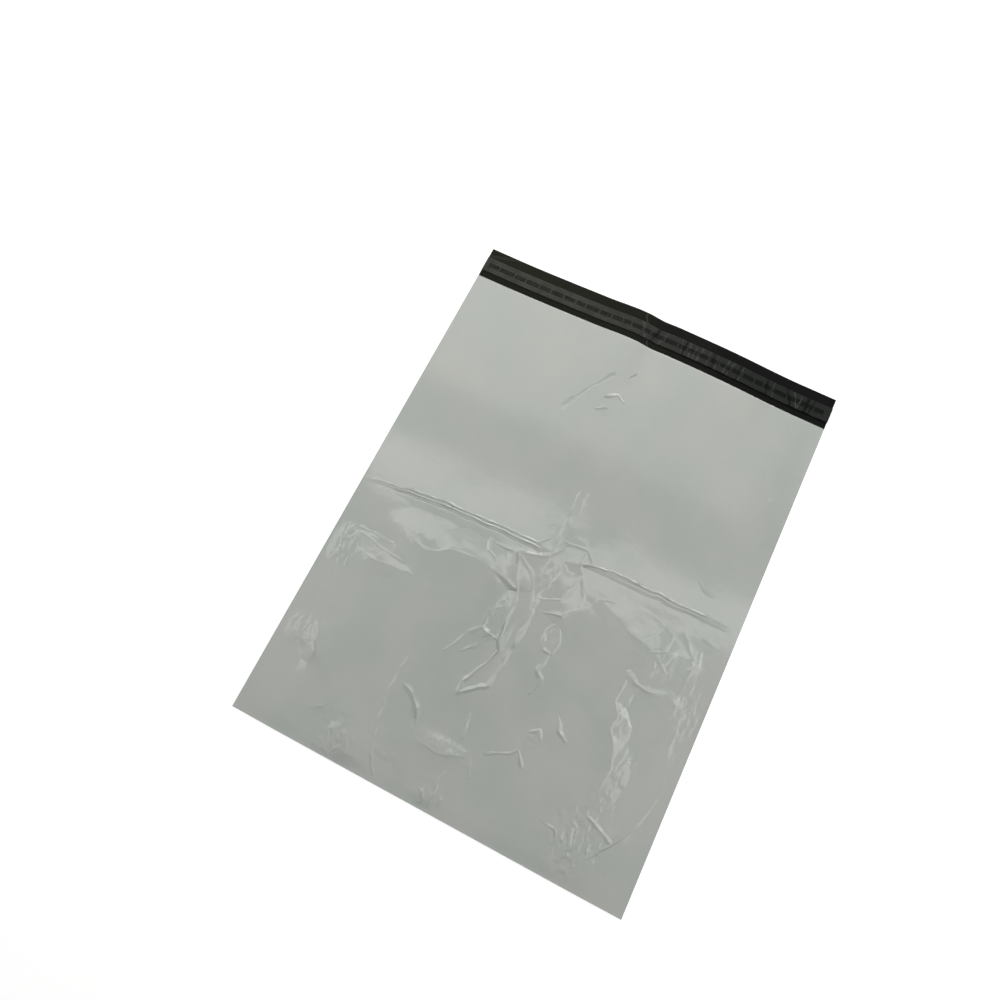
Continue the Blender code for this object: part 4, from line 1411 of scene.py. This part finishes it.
    def add_bottom_fold(self, plan: FrontPlan, front: np.ndarray, under: np.ndarray, xs: np.ndarray) -> None:
        """Add the half-round that joins the front to the underside, with its two end caps.

        Args:
            plan: The front panel's plan.
            front: Corner indices of the plan's corners.
            under: Corner indices of the underside's lowest row.
            xs: Places of those corners.
        """
        lie, skin = self.relief.lie, self.skin
        border = plan.border(plan.x, plan.y, lie.fold_y)
        border_x = plan.x[border]
        radius = lie.film + self.relief.gap(border_x, np.full(border_x.shape, lie.fold_y)) / 2
        rows = [front[border]]
        for step in range(1, self.fold_steps):
            turn = math.pi / 2 + math.pi * step / self.fold_steps
            row_y, row_z = lie.fold_y + radius * math.cos(turn), radius * (1 + math.sin(turn))
            rows.append(skin.add_corners(border_x, row_y, row_z))
        skin.add_quads(np.stack(rows), FilmSide.GREY)
        skin.add_zip(rows[-1], border_x, under, xs, FilmSide.GREY)
        for column in (0, -1):
            skin.add_face([int(row[column]) for row in rows] + [int(under[column])], FilmSide.GREY)

    def mark_crinkles(self, piece: bpy.types.Object, plan: FrontPlan) -> None:
        """Store where the fine crinkles rise: on the grey front, whose corners come first.

        Args:
            piece: The film's skin.
            plan: The front panel's plan.
        """
        lie = self.relief.lie
        inside = smooth((lie.weld_x - np.abs(plan.x)) / self.crinkle_fade)
        inside *= smooth((plan.y - lie.fold_y) / self.crinkle_fade) * (plan.y < lie.mouth_y - lie.lip_rows[0])
        share = np.zeros(len(piece.data.vertices))
        share[:len(plan.x)] = self.relief.crinkle_share(plan.x, plan.y) * inside
        attribute = piece.data.attributes.new("crinkle", "FLOAT", "POINT")
        attribute.data.foreach_set("value", share)

    def add_crinkles(
        self, piece: bpy.types.Object, grey: bpy.types.Material, black: bpy.types.Material,
    ) -> None:
        """Raise sharp fine crinkles where they are marked, and give each side its finish.

        Args:
            piece: The film's skin, with its crinkle marks.
            grey: Finish of the outside.
            black: Finish of the inside.
        """
        sizes = {"Height": self.crinkle_height, "Scale": self.crinkle_scale, "Seed": self.crinkle_seed}
        tree = GeometryTree("fine_crinkles", sizes)
        build = tree.build
        mark = build.add("GeometryNodeInputNamedAttribute", {"Name": "crinkle"}, data_type="FLOAT").outputs[0]
        place = build.add("GeometryNodeInputPosition").outputs[0]
        noise_in = {"Scale": tree.size("Scale"), "Detail": 1.5, "Distortion": 0.2}
        ridge = streaky_ridges(tree, place, self.crinkle_stretch, self.crinkle_sharpness, noise_in)
        lift = build.math("MULTIPLY", build.math("MULTIPLY", ridge, mark), tree.size("Height"))
        offset = build.add("ShaderNodeCombineXYZ", {2: lift}).outputs[0]
        moved = build.add("GeometryNodeSetPosition", {"Geometry": tree.given.outputs[0], "Offset": offset})
        real = build.add("GeometryNodeRealizeInstances", {"Geometry": moved.outputs[0]})
        index = build.add("GeometryNodeInputMaterialIndex").outputs[0]
        compare_in = {2: index, 3: int(FilmSide.BLACK)}
        inside = build.add("FunctionNodeCompare", compare_in, data_type="INT", operation="EQUAL").outputs[0]
        outside = build.add("FunctionNodeBooleanMath", {0: inside}, operation="NOT").outputs[0]
        skin = real.outputs[0]
        for side, finish in ((outside, grey), (inside, black)):
            dress_in = {"Geometry": skin, "Selection": side, "Material": finish}
            skin = build.add("GeometryNodeSetMaterial", dress_in).outputs[0]
        build.add("NodeGroupOutput", {0: skin})
        tree.apply(piece)

    def dress(self, piece: bpy.types.Object) -> None:
        """Give the film its two faces and soft shading with crisp cut edges.

        Args:
            piece: The film's skin.
        """
        grey, black = GreyFilmFinish().make(), BlackFilmFinish().make()
        piece.data.materials.append(grey)
        piece.data.materials.append(black)
        self.add_crinkles(piece, grey, black)
        piece.data.shade_smooth()
        piece.data.set_sharp_from_angle(angle=math.radians(self.crease_angle))
        ride_and_slot(piece, "grey_film", "bag_film")


@dataclass
class FlapStrip:
    """A thin strip that follows the flap: the glue band or the liner, made by a node tree."""

    name: str
    low_y: float
    high_y: float
    half_length: float
    lift: float
    thickness: float
    cell: float
    wrinkle: float
    finish: bpy.types.Material
    wrinkle_scale: float = 120.0
    wrinkle_stretch: tuple = (1.0, 0.22, 0.0)
    wrinkle_sharpness: float = 5.0
    wrinkle_run_x: tuple = (-0.030, 0.030)
    wrinkle_least: float = 0.06
    seed: float = 1.3

    def build(self, film: bpy.types.Object) -> bpy.types.Object:
        """Lay the strip over the film's flap.

        Args:
            film: The finished film, which the strip follows.

        Returns:
            The strip, as a closed plain mesh.
        """
        data = bpy.data.meshes.new(self.name)
        piece = bpy.data.objects.new(self.name, data)
        bpy.context.scene.collection.objects.link(piece)
        sizes = {
            "Film": film, "Length": 2 * self.half_length, "Width": self.high_y - self.low_y,
            "Middle": (self.low_y + self.high_y) / 2, "Lift": self.lift, "Thickness": self.thickness,
            "Wrinkle": self.wrinkle, "Seed": self.seed,
            "Columns": round(2 * self.half_length / self.cell) + 1,
            "Rows": round((self.high_y - self.low_y) / self.cell) + 1,
        }
        tree = GeometryTree(self.name, sizes)
        build = tree.build
        grid_in = {"Size X": tree.size("Length"), "Size Y": tree.size("Width"),
                   "Vertices X": tree.size("Columns"), "Vertices Y": tree.size("Rows")}
        grid = build.add("GeometryNodeMeshGrid", grid_in)
        middle = build.add("ShaderNodeCombineXYZ", {1: tree.size("Middle")}).outputs[0]
        placed = build.add("GeometryNodeSetPosition", {"Geometry": grid.outputs[0], "Offset": middle})
        place = build.add("GeometryNodeInputPosition").outputs[0]
        ground = ground_under(tree, tree.size("Film"))
        rise = build.math("ADD", build.math("ADD", ground, tree.size("Lift")), self.wrinkle_rise(tree, place))
        offset = build.add("ShaderNodeCombineXYZ", {2: rise}).outputs[0]
        laid = build.add("GeometryNodeSetPosition", {"Geometry": placed.outputs[0], "Offset": offset})
        closed = thicken(tree, laid.outputs[0], self.thickness)
        soft = build.add("GeometryNodeSetShadeSmooth", {"Geometry": closed, "Shade Smooth": True})
        tree.close(soft.outputs[0], self.finish)
        tree.apply(piece)
        return piece

    def wrinkle_rise(self, tree: GeometryTree, place: Socket) -> Socket:
        """Rise of the crosswise wrinkles, which start near the middle and grow to the right.

        Args:
            tree: Adds the nodes.
            place: Place on the strip.

        Returns:
            The rise, in metres.
        """
        build = tree.build
        across = build.add("ShaderNodeSeparateXYZ", {0: place}).outputs[0]
        reach = build.ramp(across, *self.wrinkle_run_x, self.wrinkle_least, 1.0)
        noise_in = {"Scale": self.wrinkle_scale, "Detail": 2.0, "Distortion": 0.25}
        ridge = streaky_ridges(tree, place, self.wrinkle_stretch, self.wrinkle_sharpness, noise_in)
        return build.math("MULTIPLY", build.math("MULTIPLY", ridge, reach), tree.size("Wrinkle"))


@dataclass
class LinerPrint:
    """A row of plain printed blocks of chance lengths along the liner's middle."""

    middle_y: float
    start_x: float
    count: int = 29
    height: float = 0.0052
    shortest: float = 0.0070
    longest: float = 0.0170
    space: float = 0.0014
    lift: float = 0.00003
    thickness: float = 0.00002
    block_cells: tuple = (16, 6)  # corners across and up of one block
    seed: int = 5

    def build(self, liner: bpy.types.Object, finish: bpy.types.Material) -> bpy.types.Object:
        """Lay the blocks on the liner.

        Args:
            liner: The finished liner, which the blocks follow.
            finish: Their material.

        Returns:
            The blocks, as one plain mesh.
        """
        data = bpy.data.meshes.new("liner_print")
        piece = bpy.data.objects.new("liner_print", data)
        bpy.context.scene.collection.objects.link(piece)
        sizes = {
            "Liner": liner, "Count": self.count, "Start": self.start_x, "Middle": self.middle_y,
            "Height": self.height, "Shortest": self.shortest, "Longest": self.longest, "Space": self.space,
            "Lift": self.lift, "Thickness": self.thickness, "Seed": self.seed,
        }
        tree = GeometryTree("liner_print", sizes)
        build = tree.build
        length_in = {2: tree.size("Shortest"), 3: tree.size("Longest"), "Seed": tree.size("Seed")}
        length = build.add("FunctionNodeRandomValue", length_in, data_type="FLOAT").outputs[1]
        step = build.math("ADD", length, tree.size("Space"))
        before = build.add("GeometryNodeAccumulateField", {0: step}, data_type="FLOAT").outputs["Trailing"]
        from_x = build.math("ADD", before, tree.size("Start"))
        middle_x = build.math("ADD", from_x, build.math("MULTIPLY", length, 0.5))
        spot = build.add("ShaderNodeCombineXYZ", {0: middle_x, 1: tree.size("Middle")}).outputs[0]
        points = build.add("GeometryNodeMeshLine", {"Count": tree.size("Count")})
        placed = build.add("GeometryNodeSetPosition", {"Geometry": points.outputs[0], "Position": spot})
        columns, rows = self.block_cells
        block_in = {"Size X": 1.0, "Size Y": 1.0, "Vertices X": columns, "Vertices Y": rows}
        block = build.add("GeometryNodeMeshGrid", block_in)
        scale = build.add("ShaderNodeCombineXYZ", {0: length, 1: tree.size("Height"), 2: 1.0}).outputs[0]
        blocks_in = {"Points": placed.outputs[0], "Instance": block.outputs[0], "Scale": scale}
        blocks = build.add("GeometryNodeInstanceOnPoints", blocks_in)
        real = build.add("GeometryNodeRealizeInstances", {"Geometry": blocks.outputs[0]})
        ground = ground_under(tree, tree.size("Liner"))
        offset = build.add("ShaderNodeCombineXYZ", {2: build.math("ADD", ground, tree.size("Lift"))}).outputs[0]
        laid = build.add("GeometryNodeSetPosition", {"Geometry": real.outputs[0], "Offset": offset})
        tree.close(thicken(tree, laid.outputs[0], self.thickness), finish)
        tree.apply(piece)
        ride_and_slot(piece, "liner_film")
        return piece


class Along(Enum):
    """The direction in which a lamp's long side lies."""

    ACROSS = (1.0, 0.0, 0.0)
    UP = (0.0, 1.0, 0.0)


WARM = (1.0, 0.985, 0.95)
WHITE = (1.0, 1.0, 1.0, 1.0)


@dataclass(frozen=True)
class SoftBox:
    """A rectangular lamp: its place, the place that it faces, its long side's direction, its sides
    and its brightness."""

    name: str
    place: tuple
    aim: tuple
    along: Along
    sides: tuple
    brightness: float
    tint: tuple = (1.0, 1.0, 1.0)

    def hang(self) -> bpy.types.Object:
        """Put the lamp in the scene; its power follows from its area and brightness.

        Returns:
            The lamp's object.
        """
        lamp = bpy.data.lights.new(self.name, "AREA")
        lamp.shape = "RECTANGLE"
        lamp.size, lamp.size_y = self.sides
        lamp.energy = self.brightness * math.pi * self.sides[0] * self.sides[1]
        lamp.color = self.tint
        made = bpy.data.objects.new(self.name, lamp)
        made.location = self.place
        back = (Vector(self.place) - Vector(self.aim)).normalized()
        side = back.cross(Vector(self.along.value)).normalized()
        made.rotation_euler = Matrix((side.cross(back), side, back)).transposed().to_euler()
        bpy.context.scene.collection.objects.link(made)
        return made


@dataclass
class Studio:
    """Pale floor, soft light and the camera of the reference view."""

    camera_place: tuple = (0.0173, -0.1370, 0.6929)
    camera_right: tuple = (0.8934, 0.4492, -0.0046)
    camera_up: tuple = (-0.4343, 0.8663, 0.2468)
    lens: float = 25.57
    sensor: float = 36.0
    floor_size: float = 12.0
    floor_drop: float = 0.0002
    floor_tone: tuple = (0.86, 0.86, 0.86, 1.0)
    floor_roughness: float = 0.9
    floor_specular: float = 0.1
    floor_lift: float = 0.37
    far_lift: float = 0.85
    far_from: float = 0.8
    far_at: float = 3.5
    world_level: float = 0.28
    boxes: tuple = (
        SoftBox("top_box", (-0.50, 1.20, 1.5), (-0.50, 0.3, 0.0), Along.ACROSS, (1.40, 1.06), 1.28, WARM),
        SoftBox("side_box", (0.425, 1.20, 1.5), (0.425, 0.3, 0.0), Along.ACROSS, (0.45, 1.06), 1.15, WARM),
        SoftBox("crest_strip", (0.0, 2.35, 1.35), (0.0, 0.3, 0.0), Along.ACROSS, (2.2, 0.6), 4.0),
        SoftBox("overhead_box", (-0.1, -0.64, 2.4), (-0.1, -0.1, 0.0), Along.ACROSS, (2.8, 1.25), 0.42),
        SoftBox("band_strip", (0.0, 0.335, 1.5), (0.0, 0.1, 0.0), Along.ACROSS, (2.2, 0.16), 2.0),
        SoftBox("left_strip", (-1.09, 0.36, 1.4), (0.0, 0.36, 0.0), Along.UP, (1.7, 0.7), 1.5),
        SoftBox("right_strip", (1.09, 0.36, 1.4), (0.0, 0.36, 0.0), Along.UP, (1.7, 0.7), 1.65),
    )

    def build(self) -> None:
        """Make the floor, the world, the lamps and the camera."""
        self.make_floor()
        self.make_world()
        for box in self.boxes:
            box.hang()
        self.make_camera()
        bpy.context.scene.view_settings.view_transform = "Standard"

    def white_share(self, build: NodeBuild) -> Socket:
        """1 for rays that see the background straight, in a gloss or through glass.

        Args:
            build: Adds the nodes.

        Returns:
            The share.
        """
        path = build.add("ShaderNodeLightPath")
        straight = build.math("MAXIMUM", path.outputs["Is Camera Ray"], path.outputs["Is Transmission Ray"])
        return build.math("MAXIMUM", straight, path.outputs["Is Glossy Ray"])

    def make_floor(self) -> None:
        """A wide level floor just under the mailer, whiter to the eye than its tone, more so far away."""
        data = bpy.data.meshes.new("floor")
        half = self.floor_size / 2
        corners = [(-half, -half, 0), (half, -half, 0), (half, half, 0), (-half, half, 0)]
        data.from_pydata(corners, [], [(0, 1, 2, 3)])
        floor = bpy.data.objects.new("floor", data)
        floor.location = (0, 0, -self.floor_drop)
        bpy.context.scene.collection.objects.link(floor)
        made, build, shader = new_material("pale_floor")
        place = build.add("ShaderNodeTexCoord").outputs["Object"]
        away = build.add("ShaderNodeVectorMath", {0: place}, operation="LENGTH").outputs["Value"]
        level = build.ramp(away, self.far_from, self.far_at, self.floor_lift, self.far_lift)
        lift = build.math("MULTIPLY", self.white_share(build), level)
        build.feed(shader, Emission_Strength=lift, Emission_Color=WHITE, Base_Color=self.floor_tone,
                   Roughness=self.floor_roughness, Specular_IOR_Level=self.floor_specular)
        data.materials.append(made)

    def make_world(self) -> None:
        """A plain soft surround that lights the mailer and is white behind it."""
        world = bpy.data.worlds.new("surround")
        bpy.context.scene.world = world
        world.use_nodes = True
        build = NodeBuild(world.node_tree)
        back = world.node_tree.nodes["Background"]
        level = build.ramp(self.white_share(build), 0.0, 1.0, self.world_level, 1.0)
        build.tree.links.new(level, back.inputs["Strength"])
        back.inputs["Color"].default_value = WHITE

    def make_camera(self) -> None:
        """The camera that looks down on the mailer as the reference view does."""
        data = bpy.data.cameras.new("camera")
        data.lens = self.lens
        data.sensor_width = self.sensor
        camera = bpy.data.objects.new("camera", data)
        camera.location = self.camera_place
        right, up = Vector(self.camera_right).normalized(), Vector(self.camera_up).normalized()
        axes = Matrix((right, right.cross(up).cross(right), right.cross(up)))
        camera.rotation_euler = axes.transposed().to_euler()
        bpy.context.scene.collection.objects.link(camera)
        bpy.context.scene.camera = camera


@dataclass
class Mailer:
    """The whole mailer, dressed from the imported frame."""

    lie: Lie = field(init=False)
    liner_thickness: float = 0.00006
    liner_wrinkle: float = 0.0008
    liner_cell: float = 0.0008
    quick_liner_cell: float = 0.0016
    glue_thickness: float = 0.00008
    print_margin: float = 0.005
    seat: float = 0.0003

    def __post_init__(self) -> None:
        """Read the sizes that the frame gives."""
        low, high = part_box("bag_film")
        self.lie = Lie(half_width=high.x, bottom_y=low.y, flap_end_y=high.y)

    def build(self) -> list:
        """Make and dress each piece, in order.

        Returns:
            The finished pieces.
        """
        bag = BagFilm(Relief(self.lie), Quality.FULL)
        film = bag.build()
        bag.dress(film)
        liner = self.build_liner(film)
        # The ink is real print, but it carries the liner's painted shade towards the right and its painted
        # crease highlights and shade.
        print_finish = LinerFinish(
            name="liner_print_ink", shaded_tone=(0.007, 0.008, 0.007, 1.0), lit_tone=(0.028, 0.028, 0.024, 1.0),
            highlight_tone=(0.034, 0.035, 0.032, 1.0), specular=0.03, mottle_scale=330.0, mottle_least=0.35,
        ).make()
        low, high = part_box("release_liner")
        marks = LinerPrint((low.y + high.y) / 2, low.x + self.print_margin).build(liner, print_finish)
        return [film, liner, marks, self.dress_glue()]

    def build_liner(self, film: bpy.types.Object) -> bpy.types.Object:
        """The release liner, as wide and as long as its solid.

        Args:
            film: The finished film.

        Returns:
            The liner.
        """
        low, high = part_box("release_liner")
        strip = FlapStrip(
            name="liner_strip", low_y=low.y, high_y=high.y, half_length=high.x,
            lift=self.glue_thickness + 2 * self.seat, thickness=self.liner_thickness,
            cell=self.liner_cell,
            wrinkle=self.liner_wrinkle, finish=LinerFinish().make(),
        )
        piece = strip.build(film)
        ride_and_slot(piece, "liner_film", "release_liner")
        return piece

    def dress_glue(self) -> bpy.types.Object:
        """The glue band keeps its solid and gets its own finish.

        Returns:
            The band's node.
        """
        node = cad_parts["adhesive_strip"]
        node.data.materials.clear()
        node.data.materials.append(
            PlainFinish("hot_melt_glue", (0.40, 0.38, 0.31, 1.0), (0.47, 0.45, 0.38, 1.0), 0.35).make()
        )
        return node


def main() -> None:
    """Build the mailer and the studio, and log each piece's count of faces."""
    logging.basicConfig(level=logging.INFO, format="%(message)s")
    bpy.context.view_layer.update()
    for piece in Mailer().build():
        LOG.info("%s: %d faces", piece.name, len(piece.data.polygons))
    Studio().build()


if __name__ == "__main__":
    main()
